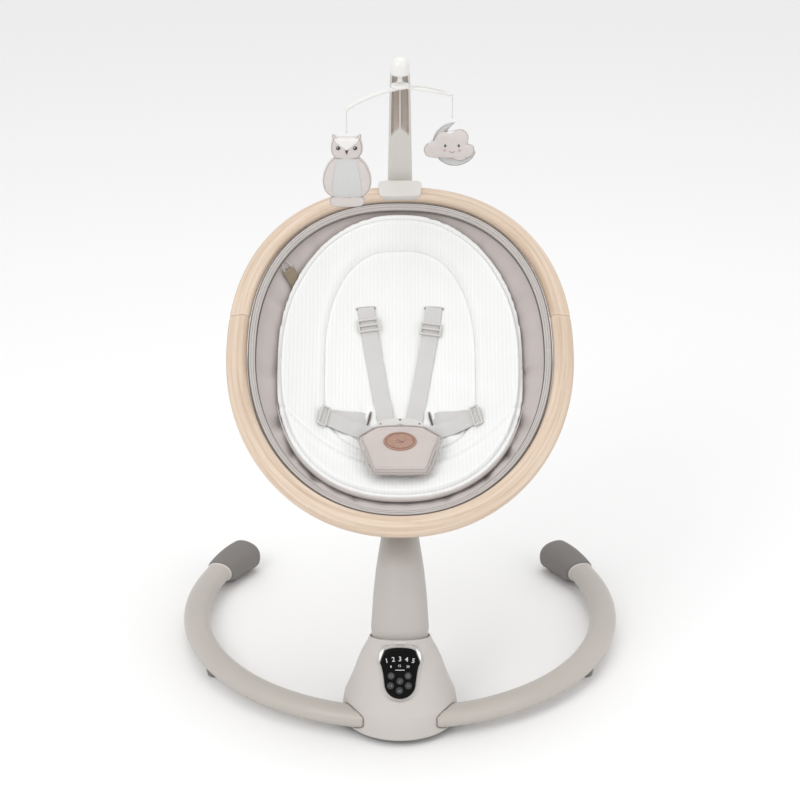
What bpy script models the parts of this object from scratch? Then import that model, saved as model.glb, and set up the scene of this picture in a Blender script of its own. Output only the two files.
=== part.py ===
"""Electric baby swing: C-shaped floor base with a motor housing, a leaning swing column, and a reclining
seat made of an egg-shaped ring, a hung fabric bowl, a padded inlay, a harness and a plug-in toy bar.

Metres, +Z up, +X to the object's right seen from the front, -Y towards the front. The floor is z = 0.
"""
import math

import bmesh
import bpy
from mathutils import Matrix, Vector

# ---- driving dimensions (metres unless named otherwise) ----
GAP = 0.0004                 # clearance between pieces that touch
RUN = 0.00006                # radial running clearance of a shaft in its bush

# floor base
ARC_HALF_WIDTH = 0.315       # centreline of the C tube, half its width
ARC_HALF_DEPTH = 0.331       # centreline of the C tube, centre to front
TUBE_WIDTH = 0.040
TUBE_HEIGHT = 0.0285
TUBE_WALL = 0.002
TUBE_Z = 0.0263              # height of the tube's centreline
ARM_START_DEG = 7.5          # where an arm starts inside the housing, from the front
ARM_END_DEG = 113.0          # where an arm's tube meets its rubber cap, from the front
CAP_ARC_DEG = 16.0           # length of a rubber end cap along the arc
CAP_GROW = 0.008             # how much wider a cap is than its tube
FOOT_NUB_DEG = 62.0          # where the middle foot of each arm sits, from the front

# motor housing
HOUSING_Y = -0.282
HOUSING_FOOT_RADIUS = 0.084
HOUSING_NECK_RADIUS = 0.0455
HOUSING_NECK_Z = 0.135
HOUSING_WALL = 0.0026
HOUSING_SIDES = 40

# swing joint and column
PIVOT_Y = -0.275
PIVOT_Z = 0.135
COLUMN_LEAN = math.radians(17.0)
BALL_RADIUS = 0.0405         # rounded lower end of the column, inside the housing's neck
COLUMN_WALL = 0.0028
COLUMN_SIDES = 24
CORE_RADIUS = 0.013          # steel tube inside the column
SHAFT_RADIUS = 0.005
EAR_OUT = 0.647 * BALL_RADIUS    # the chassis ears that hold the shaft, inside the ball
EAR_IN = EAR_OUT - 0.0062
EAR_HALF = BALL_RADIUS / 3
SHAFT_HALF = EAR_OUT + 0.0028
BUSH_WALL = 0.0022

# seat
SEAT_TILT = math.radians(34.0)
SEAT_CENTRE = Vector((0.0, -0.0814, 0.4842))
RING_HALF_WIDTH = 0.2525     # outer edge
RING_HEAD = 0.3005           # outer edge, from the widest place to the head end
RING_FOOT = 0.3115           # outer edge, from the widest place to the foot end
RING_WIDEST_S = 0.010        # the widest place along the seat, from the seat centre
RING_HEAD_POWER = 2.3        # 2 is an ellipse, more is squarer
RING_FOOT_POWER = 2.1
RING_BAND = 0.030            # width of the bent wood band
RING_THICK = 0.018
RING_SLOPE = math.radians(19.0)
RING_JOINT_ANGLE = math.radians(9.0)
BOWL_DEPTH = 0.122
BOWL_POWER = 2.6
BOWL_THICK = 0.004
INLAY_HALF_WIDTH = 0.186
INLAY_HEAD_S = 0.268
INLAY_FOOT_S = -0.219
INLAY_THICK = 0.018
KEEL_WIDTH = 0.060
KEEL_THICK = 0.012
KEEL_SINK = 0.0035           # gap under the bowl that lets the fabric give

# recline joint
RECLINE_Y = -0.128
RECLINE_Z = 0.2755
LUG_HALF = 0.012
EAR_THICK = 0.009
PIN_RADIUS = 0.005
LUG_RADIUS = 0.0150

# harness
WEB_WIDTH = 0.025
WEB_THICK = 0.0016
WEB_LIFT = 0.0042            # middle of the webbing over the inlay
PAD_THICK = 0.010

# toy bar and mobile
BAR_WIDTH_FOOT = 0.040
BAR_WIDTH_TIP = 0.026
BAR_THICK = 0.013
HUB_POINT = Vector((0.0, -0.020, 0.872))
MOBILE_RADIUS = 0.083
MOBILE_TURN = math.radians(25.0)
MOBILE_DROP = 0.017
STRING_LENGTH = 0.032
STRING_RADIUS = 0.001
TOY_THICK = 0.024

# control panel
BUTTON_RADIUS = 0.0055
BUTTON_TRAVEL = 0.0008
PANEL_HALF_WIDTH = 0.0285
PANEL_LENGTH = 0.073
PANEL_THICK = 0.003


# ---- scene, materials and small makers ----
for old in list(bpy.data.objects):
    bpy.data.objects.remove(old, do_unlink=True)

parts = bpy.data.collections.new("baby_swing")
tools = bpy.data.collections.new("cutters")
bpy.context.scene.collection.children.link(parts)
bpy.context.scene.collection.children.link(tools)


def empty(name, location=(0, 0, 0), rotation=(0, 0, 0), parent=None):
    frame = bpy.data.objects.new(name, None)
    parts.objects.link(frame)
    frame.location = location
    frame.rotation_euler = rotation
    frame.parent = parent
    return frame


def material(name, colour, roughness=0.5, metallic=0.0):
    made = bpy.data.materials.get(name)
    if made is None:
        made = bpy.data.materials.new(name)
        made.use_nodes = True
        shader = made.node_tree.nodes["Principled BSDF"]
        shader.inputs["Base Color"].default_value = (*colour, 1.0)
        shader.inputs["Roughness"].default_value = roughness
        shader.inputs["Metallic"].default_value = metallic
    return made


def add(name, mesh, look, parent, smooth=True):
    """Link a finished mesh as the named sub-part under its parent frame."""
    made = bpy.data.objects.new(name, mesh)
    parts.objects.link(made)
    made.parent = parent
    mesh.materials.clear()
    mesh.materials.append(look)
    if smooth:
        mesh.shade_smooth()
        mesh.set_sharp_from_angle(angle=math.radians(35))
    return made


def mesh_of(bm, name):
    bmesh.ops.recalc_face_normals(bm, faces=bm.faces)
    mesh = bpy.data.meshes.new(name)
    bm.to_mesh(mesh)
    bm.free()
    return mesh


def box_mesh(name, size, centre=(0, 0, 0)):
    bm = bmesh.new()
    bmesh.ops.create_cube(bm, size=1.0)
    bmesh.ops.scale(bm, vec=size, verts=bm.verts)
    bmesh.ops.translate(bm, vec=centre, verts=bm.verts)
    return mesh_of(bm, name)


def rod_mesh(name, radius, start, end, sides=16, radius_end=None):
    """A cylinder or cone between two points."""
    start, end = Vector(start), Vector(end)
    bm = bmesh.new()
    bmesh.ops.create_cone(bm, cap_ends=True, segments=sides, radius1=radius,
                          radius2=radius if radius_end is None else radius_end, depth=(end - start).length)
    turn = Vector((0, 0, 1)).rotation_difference(end - start).to_matrix().to_4x4()
    bmesh.ops.transform(bm, matrix=Matrix.Translation((start + end) / 2) @ turn, verts=bm.verts)
    return mesh_of(bm, name)


def tube_mesh(name, inner, outer, start, end, sides=24):
    """A plain bush: a ring of square section between two points on its axis."""
    start, end = Vector(start), Vector(end)
    long = (end - start).length
    bm = bmesh.new()
    rings = []
    for radius, height in ((outer, -long / 2), (outer, long / 2), (inner, long / 2), (inner, -long / 2)):
        ring = []
        for i in range(sides):
            angle = 2 * math.pi * i / sides
            ring.append(bm.verts.new((radius * math.cos(angle), radius * math.sin(angle), height)))
        rings.append(ring)
    for first, second in zip(rings, rings[1:] + rings[:1]):
        for i in range(sides):
            j = (i + 1) % sides
            bm.faces.new((first[i], first[j], second[j], second[i]))
    turn = Vector((0, 0, 1)).rotation_difference(end - start).to_matrix().to_4x4()
    bmesh.ops.transform(bm, matrix=Matrix.Translation((start + end) / 2) @ turn, verts=bm.verts)
    return mesh_of(bm, name)


def curve_mesh(name, points, radius, sides_resolution=4, radii=None, caps=True, flat_outline=None, extrude=0.0,
               closed=False, fill="FULL"):
    """A tube along 3D points, or a flat outline or ribbon from 2D points, as a mesh."""
    data = bpy.data.curves.new(name, "CURVE")
    data.dimensions = "2D" if flat_outline else "3D"
    spline = data.splines.new("POLY")
    spline.points.add(len(points) - 1)
    for index, (target, point) in enumerate(zip(spline.points, points)):
        place = Vector(point).to_3d()
        target.co = (*place, 1.0)
        target.radius = 1.0 if radii is None else radii[index] / radius
    spline.use_cyclic_u = closed
    data.bevel_depth = radius
    data.bevel_resolution = sides_resolution
    data.extrude = extrude
    data.use_fill_caps = caps
    data.fill_mode = "BOTH" if flat_outline == "filled" else fill
    holder = bpy.data.objects.new(name, data)
    tools.objects.link(holder)
    graph = bpy.context.evaluated_depsgraph_get()
    mesh = bpy.data.meshes.new_from_object(holder.evaluated_get(graph))
    bpy.data.objects.remove(holder, do_unlink=True)
    bm = bmesh.new()
    bm.from_mesh(mesh)
    bmesh.ops.remove_doubles(bm, verts=bm.verts, dist=0.00001)
    return mesh_of(bm, name)


def outline_mesh(name, points, half_thick, edge=0.0):
    """A flat outline in local XY, extruded both ways along Z, with an optional rounded edge."""
    return curve_mesh(name, points, edge, 1 if edge else 0, flat_outline="filled", extrude=half_thick - edge,
                      closed=True)


def moved(mesh, matrix):
    mesh.transform(matrix)
    return mesh


def cutter(name, mesh, parent):
    tool = bpy.data.objects.new(name, mesh)
    tools.objects.link(tool)
    tool.parent = parent
    tool.hide_render = True
    tool.display_type = "WIRE"
    return tool


def boolean(target, tool, operation="DIFFERENCE"):
    change = target.modifiers.new(tool.name, "BOOLEAN")
    change.operation = operation
    change.solver = "EXACT"
    change.object = tool


def shell(target, thickness, offset=-1.0):
    wall = target.modifiers.new("wall", "SOLIDIFY")
    wall.thickness = thickness
    wall.offset = offset
    wall.use_even_offset = True


def soften(target, width, segments=2):
    edge = target.modifiers.new("edge", "BEVEL")
    edge.width = width
    edge.segments = segments
    edge.limit_method = "ANGLE"
    edge.angle_limit = math.radians(40)


def turned(name, profile, sides, centre=(0, 0, 0), look=None, parent=None):
    """A turned solid or shell: the profile's (radius, height) points run down the outer side."""
    bm = bmesh.new()
    verts = [bm.verts.new((radius, 0.0, height)) for radius, height in profile]
    for first, second in zip(verts, verts[1:]):
        bm.edges.new((first, second))
    mesh = bpy.data.meshes.new(name)
    bm.to_mesh(mesh)
    bm.free()
    made = bpy.data.objects.new(name, mesh)
    made.location = centre
    made.parent = parent
    mesh.materials.append(look)
    turn = made.modifiers.new("turn", "SCREW")
    turn.steps = sides
    turn.render_steps = sides
    turn.use_merge_vertices = True
    turn.merge_threshold = 0.00005
    turn.use_smooth_shade = True
    return made


PLASTIC = material("plastic_grey_beige", (0.55, 0.52, 0.49), 0.45)
PLASTIC_LIGHT = material("plastic_light", (0.60, 0.58, 0.55), 0.45)
TUBE_PAINT = material("tube_paint", (0.48, 0.45, 0.42), 0.4, 0.2)
DARK_RUBBER = material("dark_rubber", (0.20, 0.19, 0.18), 0.8)
BLACK_GLOSS = material("black_gloss", (0.01, 0.01, 0.01), 0.1)
BUTTON_GREY = material("button_grey", (0.06, 0.06, 0.06), 0.5)
STEEL = material("steel", (0.55, 0.55, 0.56), 0.35, 1.0)
BRONZE = material("bronze", (0.55, 0.38, 0.20), 0.4, 1.0)
COPPER = material("copper", (0.70, 0.35, 0.20), 0.35, 1.0)
BOARD_GREEN = material("board_green", (0.03, 0.18, 0.07), 0.5)
WOOD = material("pale_wood", (0.74, 0.62, 0.50), 0.5)
FABRIC = material("mauve_fabric", (0.52, 0.46, 0.44), 0.9)
INLAY_WHITE = material("inlay_white", (0.88, 0.88, 0.88), 0.9)
WEBBING = material("webbing", (0.68, 0.67, 0.66), 0.8)
PAD_FABRIC = material("pad_fabric", (0.60, 0.53, 0.50), 0.9)
BADGE_LEATHER = material("badge_leather", (0.30, 0.17, 0.11), 0.6)
TOY_FABRIC = material("toy_fabric", (0.62, 0.58, 0.55), 0.9)

origin = empty("swing_origin")
housing_frame = empty("housing_frame", (0, HOUSING_Y, 0), parent=origin)
pivot_frame = empty("pivot_frame", (0, PIVOT_Y, PIVOT_Z), (-COLUMN_LEAN, 0, 0), parent=origin)
seat_frame = empty("seat_frame", SEAT_CENTRE, (SEAT_TILT, 0, 0), parent=origin)

PIVOT = Vector((0, PIVOT_Y, PIVOT_Z))
COLUMN_AXIS = Vector((0, math.sin(COLUMN_LEAN), math.cos(COLUMN_LEAN)))
SIDE_VIEW = Matrix.Rotation(math.pi / 2, 4, "Z") @ Matrix.Rotation(math.pi / 2, 4, "X")


# ---- floor base: arms, end caps, feet ----
def arc_point(degrees, z=TUBE_Z, side=1, grow=0.0):
    """A point of the C tube's centreline, by the angle from the front."""
    angle = math.radians(degrees)
    return Vector((side * (ARC_HALF_WIDTH + grow) * math.sin(angle),
                   -(ARC_HALF_DEPTH + grow) * math.cos(angle), z))


def arc_run(start, end, steps, side):
    return [arc_point(start + (end - start) * i / steps, 0.0, side) for i in range(steps + 1)]


def oval_tube(name, points, width, height, look, caps, resolution=5, radii=None):
    """A tube of oval section whose centreline is level, at the arms' height."""
    mesh = curve_mesh(name, points, width / 2, resolution, radii, caps)
    mesh.transform(Matrix.Translation((0, 0, TUBE_Z)) @ Matrix.Diagonal((1, 1, height / width, 1)))
    return add(name, mesh, look, origin)


for side, word in ((-1, "left"), (1, "right")):
    arm = oval_tube(f"base_arm_{word}", arc_run(ARM_START_DEG, ARM_END_DEG, 20, side),
                    TUBE_WIDTH, TUBE_HEIGHT, TUBE_PAINT, False)
    shell(arm, TUBE_WALL)
    # the cap flares out from the tube and comes down to the floor
    steps = 6
    run = arc_run(ARM_END_DEG + 0.45, ARM_END_DEG + CAP_ARC_DEG, steps, side)
    swell = [TUBE_WIDTH / 2 + CAP_GROW * math.sin(math.pi / 2 * (0.3 + 0.7 * i / steps)) for i in range(steps + 1)]
    swell[-1] *= 0.84
    mesh = curve_mesh(f"arm_cap_{word}", run, TUBE_WIDTH / 2, 5, swell, True)
    top = TUBE_HEIGHT / TUBE_WIDTH
    for vert in mesh.vertices:
        vert.co.z = TUBE_Z + vert.co.z * top if vert.co.z > 0 else TUBE_Z + vert.co.z * TUBE_Z / swell[3]
        vert.co.z = max(vert.co.z, 0.0)
    add(f"arm_cap_{word}", mesh, DARK_RUBBER, origin)

    place = arc_point(FOOT_NUB_DEG, 0.0, side)
    under_tube = TUBE_Z - TUBE_HEIGHT / 2 - GAP
    add(f"arm_foot_{word}", rod_mesh("arm_foot", 0.0105, place, place + Vector((0, 0, under_tube)), 16, 0.013),
        DARK_RUBBER, origin)


# ---- motor housing: shell, bottom plate, pads, screws ----
PLATE_THICK = 0.003
PLATE_Z = 0.0080
HOUSING_PROFILE = [
    (0.0405, 0.1570), (HOUSING_NECK_RADIUS, HOUSING_NECK_Z), (0.0557, 0.1090), (0.0646, 0.0820),
    (0.0743, 0.0560), (0.0800, 0.0425), (0.0822, 0.0290), (HOUSING_FOOT_RADIUS, PLATE_Z + 0.0010),
]
housing = turned("housing_shell", HOUSING_PROFILE, HOUSING_SIDES, (0, 0, 0), PLASTIC, housing_frame)
parts.objects.link(housing)
shell(housing, HOUSING_WALL)

# the neck ends in a plane square to the leaning column, with a bore around its rounded end
neck_cut = box_mesh("neck_cut", (0.2, 0.2, 0.1), (0, 0, 0.05))
boolean(housing, cutter("neck_cut", neck_cut, pivot_frame))
bm = bmesh.new()
bmesh.ops.create_uvsphere(bm, u_segments=32, v_segments=16, radius=BALL_RADIUS + 0.0011)
boolean(housing, cutter("neck_bore", mesh_of(bm, "neck_bore"), pivot_frame))
for side, word in ((-1, "left"), (1, "right")):
    mesh = curve_mesh("arm_hole", arc_run(ARM_START_DEG - 4, 26.0, 6, side), TUBE_WIDTH / 2 + GAP, 5)
    mesh.transform(Matrix.Translation((0, 0, TUBE_Z))
                   @ Matrix.Diagonal((1, 1, (TUBE_HEIGHT / 2 + GAP) / (TUBE_WIDTH / 2 + GAP), 1)))
    boolean(housing, cutter(f"arm_hole_{word}", mesh, origin))

# control panel on the front slope: its frame's local XY lies in the panel's face, +Y up the slope
PANEL_LOW = Vector((0, -0.3520, 0.0700))
PANEL_HIGH = Vector((0, -0.3275, 0.1380))
panel_up = (PANEL_HIGH - PANEL_LOW).normalized()
PANEL_LEAN = math.atan2(panel_up.y, panel_up.z)
panel_frame = empty("panel_frame", (PANEL_LOW + PANEL_HIGH) / 2, (math.pi / 2 - PANEL_LEAN, 0, 0), origin)


def panel_outline(grow=0.0):
    """A shield: a shallow arched top, widest near the top, sides drawn in to a round bottom."""
    half, long = PANEL_HALF_WIDTH, PANEL_LENGTH / 2
    right = [(0.60 * half, long), (0.79 * half, long * 0.965), (half, long * 0.60), (0.90 * half, long * 0.30),
             (0.81 * half, -long * 0.25), (0.77 * half, -long * 0.52), (0.60 * half, -long * 0.80),
             (0.32 * half, -long * 0.96), (0.0, -long)]
    left = [(-x, y) for x, y in reversed(right[:-1])]
    return [(x * (1 + grow / half), y * (1 + grow / long)) for x, y in right + left]


panel_seat = outline_mesh("panel_seat", panel_outline(GAP), 0.012)
boolean(housing, cutter("panel_seat", moved(panel_seat, Matrix.Translation((0, 0, -0.004))), panel_frame))

plate = rod_mesh("housing_bottom_plate", HOUSING_FOOT_RADIUS - HOUSING_WALL - 0.0012,
                 (0, 0, PLATE_Z), (0, 0, PLATE_Z + PLATE_THICK), HOUSING_SIDES)
plate_node = add("housing_bottom_plate", plate, PLASTIC, housing_frame)
add("housing_foot_ring", tube_mesh("housing_foot_ring", 0.052, 0.066, (0, 0, 0), (0, 0, PLATE_Z - GAP), 32),
    DARK_RUBBER, housing_frame)
for number, degrees in enumerate((30, 150, 270), 1):
    place = Matrix.Rotation(math.radians(degrees), 3, "Z") @ Vector((0.074, 0, 0))
    screw = rod_mesh("screw_head", 0.0035, place + Vector((0, 0, PLATE_Z - 0.0018)),
                     place + Vector((0, 0, PLATE_Z + 0.001)), 12)
    boolean(plate_node, cutter(f"screw_head_{number}", screw, housing_frame), "UNION")

# panel board, bezel and its buttons
PANEL_FACE = 0.0015
panel_mesh = outline_mesh("control_panel", panel_outline(0.0), PANEL_THICK / 2)
panel = add("control_panel", moved(panel_mesh, Matrix.Translation((0, 0, PANEL_FACE - PANEL_THICK / 2))),
            BLACK_GLOSS, panel_frame)
BUTTONS = {
    "power_button": (-0.0125, -0.0030), "timer_button": (0.0115, -0.0030), "melody_button": (0.0, -0.0105),
    "sound_button": (-0.0135, -0.0170), "speed_button": (0.0120, -0.0170), "volume_button": (-0.0008, -0.0240),
}
BUTTON_PROUD = 0.0012
for name, (x, y) in BUTTONS.items():
    hole = rod_mesh(f"{name}_hole", BUTTON_RADIUS + 0.0003, (x, y, -0.02), (x, y, 0.02), 20)
    boolean(panel, cutter(f"{name}_hole", hole, panel_frame))
    low = PANEL_FACE - PANEL_THICK - 0.0006
    add(name, rod_mesh(name, BUTTON_RADIUS, (x, y, low), (x, y, PANEL_FACE + BUTTON_PROUD), 20), BUTTON_GREY,
        panel_frame)
BOARD_Z = PANEL_FACE - PANEL_THICK - 0.0006 - BUTTON_TRAVEL - 0.0006
board = box_mesh("control_board", (0.036, 0.050, 0.0016), (0, 0.001, BOARD_Z - 0.0008))
add("control_board", board, BOARD_GREEN, panel_frame)

# ---- swing joint: chassis with two ears, bushes, shaft, drive ----
# pivot_frame: local Z runs up the column, local -Y forward along the swing axis
EAR_TOP = 0.0115
plate_top = PLATE_Z + PLATE_THICK + GAP
SWING_AXIS = Vector((0, math.cos(COLUMN_LEAN), -math.sin(COLUMN_LEAN)))
ear_low = plate_top + 0.002
ear_foot = PIVOT - COLUMN_AXIS * (PIVOT_Z - ear_low) / COLUMN_AXIS.z
floor_bar = box_mesh("floor_bar", (0.072, 0.078, 0.004), (0, ear_foot.y, plate_top + 0.002))
chassis = add("chassis", floor_bar, STEEL, origin)
cross_bar = box_mesh("cross_bar", (0.104, 0.034, 0.004), (0, ear_foot.y + 0.028, plate_top + 0.002))
boolean(chassis, cutter("cross_bar", cross_bar, origin), "UNION")
for sign, word in ((-1, "front"), (1, "rear")):
    side_points = []
    for along in (EAR_IN, EAR_OUT):
        top = PIVOT + sign * along * SWING_AXIS + EAR_TOP * COLUMN_AXIS
        low = top - COLUMN_AXIS * (top.z - ear_low) / COLUMN_AXIS.z
        side_points += [(top.y, top.z), (low.y, low.z)] if along == EAR_IN else [(low.y, low.z), (top.y, top.z)]
    ear_mesh = outline_mesh(f"ear_{word}", side_points, EAR_HALF)
    ear = cutter(f"ear_{word}", moved(ear_mesh, SIDE_VIEW), origin)
    boolean(chassis, ear, "UNION")
bush_hole = rod_mesh("bush_hole", SHAFT_RADIUS + BUSH_WALL + GAP, (0, -0.05, 0), (0, 0.05, 0), 24)
boolean(chassis, cutter("bush_hole", bush_hole, pivot_frame))

for sign, word in ((-1, "front"), (1, "rear")):
    bush = tube_mesh("bush", SHAFT_RADIUS + RUN, SHAFT_RADIUS + BUSH_WALL, (0, sign * (EAR_IN - 0.001), 0),
                     (0, sign * EAR_OUT, 0))
    add(f"pivot_bush_{word}", bush, BRONZE, pivot_frame)
add("pivot_shaft", rod_mesh("pivot_shaft", SHAFT_RADIUS, (0, -SHAFT_HALF, 0), (0, SHAFT_HALF, 0), 24), STEEL,
    pivot_frame)

# the lever block carries the shaft, the column's steel tube above it and the drive magnet below it
BLOCK_HALF_X = 0.0125
BLOCK_HALF_Y = EAR_IN - 0.004
LEVER_LONG = 0.086
lever = add("swing_lever", box_mesh("swing_lever", (2 * BLOCK_HALF_X, 2 * BLOCK_HALF_Y, 0.030)), STEEL, pivot_frame)
arm_down = box_mesh("arm_down", (0.010, 0.016, LEVER_LONG), (0, 0, -LEVER_LONG / 2))
boolean(lever, cutter("arm_down", arm_down, pivot_frame), "UNION")
boolean(lever, cutter("shaft_hole", rod_mesh("shaft_hole", SHAFT_RADIUS + GAP, (0, -0.05, 0), (0, 0.05, 0), 24),
                      pivot_frame))
MAGNET_LOW = -LEVER_LONG - GAP
magnet = box_mesh("drive_magnet", (0.030, 0.016, 0.010), (0, 0, MAGNET_LOW - 0.005))
add("drive_magnet", magnet, STEEL, pivot_frame)
magnet_world = PIVOT + COLUMN_AXIS * (MAGNET_LOW - 0.010)
coil_top = magnet_world.z - 0.006
coil_base = plate_top + 0.004 + GAP
coil = tube_mesh("drive_coil", 0.0066, 0.0120, (0, magnet_world.y, coil_base + 0.0005), (0, magnet_world.y, coil_top))
add("drive_coil", coil, COPPER, origin)
core = rod_mesh("coil_core", 0.0062, (0, magnet_world.y, coil_base - 0.002), (0, magnet_world.y, coil_top + 0.0005), 16)
boolean(chassis, cutter("coil_core", core, origin), "UNION")

# return springs push on the lever from both sides, off two posts on the chassis
SPRING_TURNS = 5
SPRING_STEPS = 8
spring_z = -0.040
for side, word in ((-1, "left"), (1, "right")):
    wall_x = side * 0.040
    centre = PIVOT + COLUMN_AXIS * spring_z
    points = []
    for i in range(SPRING_TURNS * SPRING_STEPS + 1):
        angle = 2 * math.pi * i / SPRING_STEPS
        x = side * (0.0068 + (0.0385 - 0.0075) * i / (SPRING_TURNS * SPRING_STEPS))
        points.append((x, centre.y + 0.0055 * math.cos(angle), centre.z + 0.0055 * math.sin(angle)))
    add(f"return_spring_{word}", curve_mesh("spring", points, 0.0008, 1), STEEL, origin)
    post = box_mesh("post", (0.004, 0.020, centre.z + 0.010 - plate_top - 0.003),
                    (wall_x + side * 0.002, centre.y, (centre.z + 0.010 + plate_top + 0.003) / 2))
    boolean(chassis, cutter(f"post_{word}", post, origin), "UNION")

# loudspeaker on the bottom plate, power inlet in the housing's rear wall
speaker_place = Vector((0, 0.055, plate_top + GAP))
speaker = rod_mesh("speaker", 0.0105, speaker_place, speaker_place + Vector((0, 0, 0.014)), 20, 0.016)
add("speaker", speaker, BUTTON_GREY, housing_frame)
INLET_Z = 0.030
inlet_y = 0.0808
inlet_hole = rod_mesh("inlet_hole", 0.0058, (0, inlet_y - 0.02, INLET_Z), (0, inlet_y + 0.03, INLET_Z), 20)
boolean(housing, cutter("inlet_hole", inlet_hole, housing_frame))
inlet = tube_mesh("power_inlet", 0.0028, 0.0054, (0, inlet_y - 0.004, INLET_Z), (0, inlet_y + 0.0015, INLET_Z), 20)
add("power_inlet", inlet, BUTTON_GREY, housing_frame)


# ---- column: shell, steel tube, head with two ears, recline pin ----
RECLINE = Vector((0, RECLINE_Y, RECLINE_Z))
STRAIGHT = 0.085
COLUMN_HEAD_RADIUS = 0.0215
column_bend = PIVOT + COLUMN_AXIS * STRAIGHT
head_end = RECLINE + Vector((0, -0.020, -0.0115))


def column_path(steps):
    """From the end of the straight run, a smooth bend back under the seat to the column head."""
    middle = column_bend + COLUMN_AXIS * 0.036
    points = []
    for i in range(1, steps + 1):
        t = i / steps
        points.append((1 - t) ** 2 * column_bend + 2 * t * (1 - t) * middle + t * t * head_end)
    return points


BALL_STEPS = (-0.0215, -0.0165, -0.0110, -0.0055, 0.0)
path = [PIVOT + COLUMN_AXIS * h for h in BALL_STEPS]
radii = [math.sqrt(BALL_RADIUS ** 2 - h ** 2) for h in BALL_STEPS]
for h, taper in ((0.008, -0.0010), (0.030, 0.0005), (0.055, 0.0021), (STRAIGHT, 0.0053)):
    path.append(PIVOT + COLUMN_AXIS * h)
    radii.append(BALL_RADIUS - taper)
column_bend_radius = radii[-1]
bend = column_path(6)
path += bend
radii += [column_bend_radius + (COLUMN_HEAD_RADIUS - column_bend_radius) * ((i + 1) / len(bend)) ** 1.2
          for i in range(len(bend))]
column = add("column_shell", curve_mesh("column_shell", path, BALL_RADIUS, (COLUMN_SIDES - 4) // 2, radii, False),
             PLASTIC, origin)
shell(column, COLUMN_WALL)
core_path = [PIVOT + COLUMN_AXIS * 0.0154] + [PIVOT + COLUMN_AXIS * 0.06, column_bend] + bend[:-1]
core_path.append(head_end - Vector((0, 0.006, 0.0035)))
add("column_tube", curve_mesh("column_tube", core_path, CORE_RADIUS, 4), STEEL, origin)

EAR_SPAN = LUG_HALF + GAP + EAR_THICK
head_points = []
for i in range(9):
    angle = math.radians(-100 + 200 * i / 8)
    head_points.append((RECLINE.y + LUG_RADIUS * math.cos(angle), RECLINE.z + LUG_RADIUS * math.sin(angle)))
head_points += [(head_end.y + 0.006, head_end.z + 0.0165), (head_end.y + 0.006, head_end.z - 0.0165)]
head_mesh = moved(outline_mesh("column_head", head_points, EAR_SPAN), SIDE_VIEW)
head = add("column_head", head_mesh, PLASTIC, origin, smooth=False)
slot_tool = rod_mesh("lug_slot", LUG_RADIUS + 0.0012, RECLINE - Vector((LUG_HALF + GAP, 0, 0)),
                     RECLINE + Vector((LUG_HALF + GAP, 0, 0)), 32)
boolean(head, cutter("lug_slot", slot_tool, origin))
pin_hole = rod_mesh("pin_hole", PIN_RADIUS + GAP, RECLINE - Vector((0.05, 0, 0)), RECLINE + Vector((0.05, 0, 0)), 24)
boolean(head, cutter("pin_hole", pin_hole, origin))
pin = rod_mesh("recline_pin", PIN_RADIUS, RECLINE - Vector((EAR_SPAN + 0.001, 0, 0)),
               RECLINE + Vector((EAR_SPAN + 0.001, 0, 0)), 24)
add("recline_pin", pin, STEEL, origin)


# ---- seat: everything below is in the seat frame, +Y to the head end, +Z out of the bowl ----
def egg(angle, inset=0.0):
    """A point of the ring's outline, by the angle from +X towards the head end."""
    c, s = math.cos(angle), math.sin(angle)
    power = RING_HEAD_POWER if s > 0 else RING_FOOT_POWER
    reach = RING_HEAD if s > 0 else RING_FOOT
    x = (RING_HALF_WIDTH - inset) * math.copysign(abs(c) ** (2 / power), c)
    y = (reach - inset) * math.copysign(abs(s) ** (2 / power), s)
    return Vector((x, RING_WIDEST_S + y, 0.0))


BOWL_EDGE = RING_BAND + 0.0030


def bowl_reach(x, y):
    """0 at the bowl's centre, 1 at its edge under the ring."""
    y = y - RING_WIDEST_S
    power = RING_HEAD_POWER if y > 0 else RING_FOOT_POWER
    half = RING_HALF_WIDTH - BOWL_EDGE
    reach = (RING_HEAD if y > 0 else RING_FOOT) - BOWL_EDGE
    return (abs(x / half) ** power + abs(y / reach) ** power) ** (1 / power)


def bowl_height(x, y):
    """Height of the bowl's inner surface in the seat frame; zero is the ring's middle."""
    return -BOWL_DEPTH * (1 - min(1.0, bowl_reach(x, y)) ** BOWL_POWER)


def ring_half(name, start, end, steps=16, grow=0.0):
    """A bent wood band of sloping oval section along half of the egg outline."""
    section = []
    for i in range(10):
        angle = 2 * math.pi * i / 10
        wide = math.copysign(abs(math.cos(angle)) ** 0.6, math.cos(angle)) * (RING_BAND / 2 + grow)
        thick = math.copysign(abs(math.sin(angle)) ** 0.6, math.sin(angle)) * (RING_THICK / 2 + grow)
        section.append((wide * math.cos(RING_SLOPE) + thick * math.sin(RING_SLOPE),
                        -wide * math.sin(RING_SLOPE) + thick * math.cos(RING_SLOPE)))
    bm = bmesh.new()
    rings = []
    for i in range(steps + 1):
        angle = start + (end - start) * i / steps
        point = egg(angle, RING_BAND / 2)
        along_ring = (egg(angle + 0.01, RING_BAND / 2) - egg(angle - 0.01, RING_BAND / 2)).normalized()
        out = along_ring.cross(Vector((0, 0, 1)))
        rings.append([bm.verts.new(point + out * r + Vector((0, 0, h))) for r, h in section])
    count = len(section)
    for first, second in zip(rings, rings[1:]):
        for i in range(count):
            j = (i + 1) % count
            bm.faces.new((first[i], first[j], second[j], second[i]))
    bm.faces.new(rings[0])
    bm.faces.new(list(reversed(rings[-1])))
    return mesh_of(bm, name)


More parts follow.
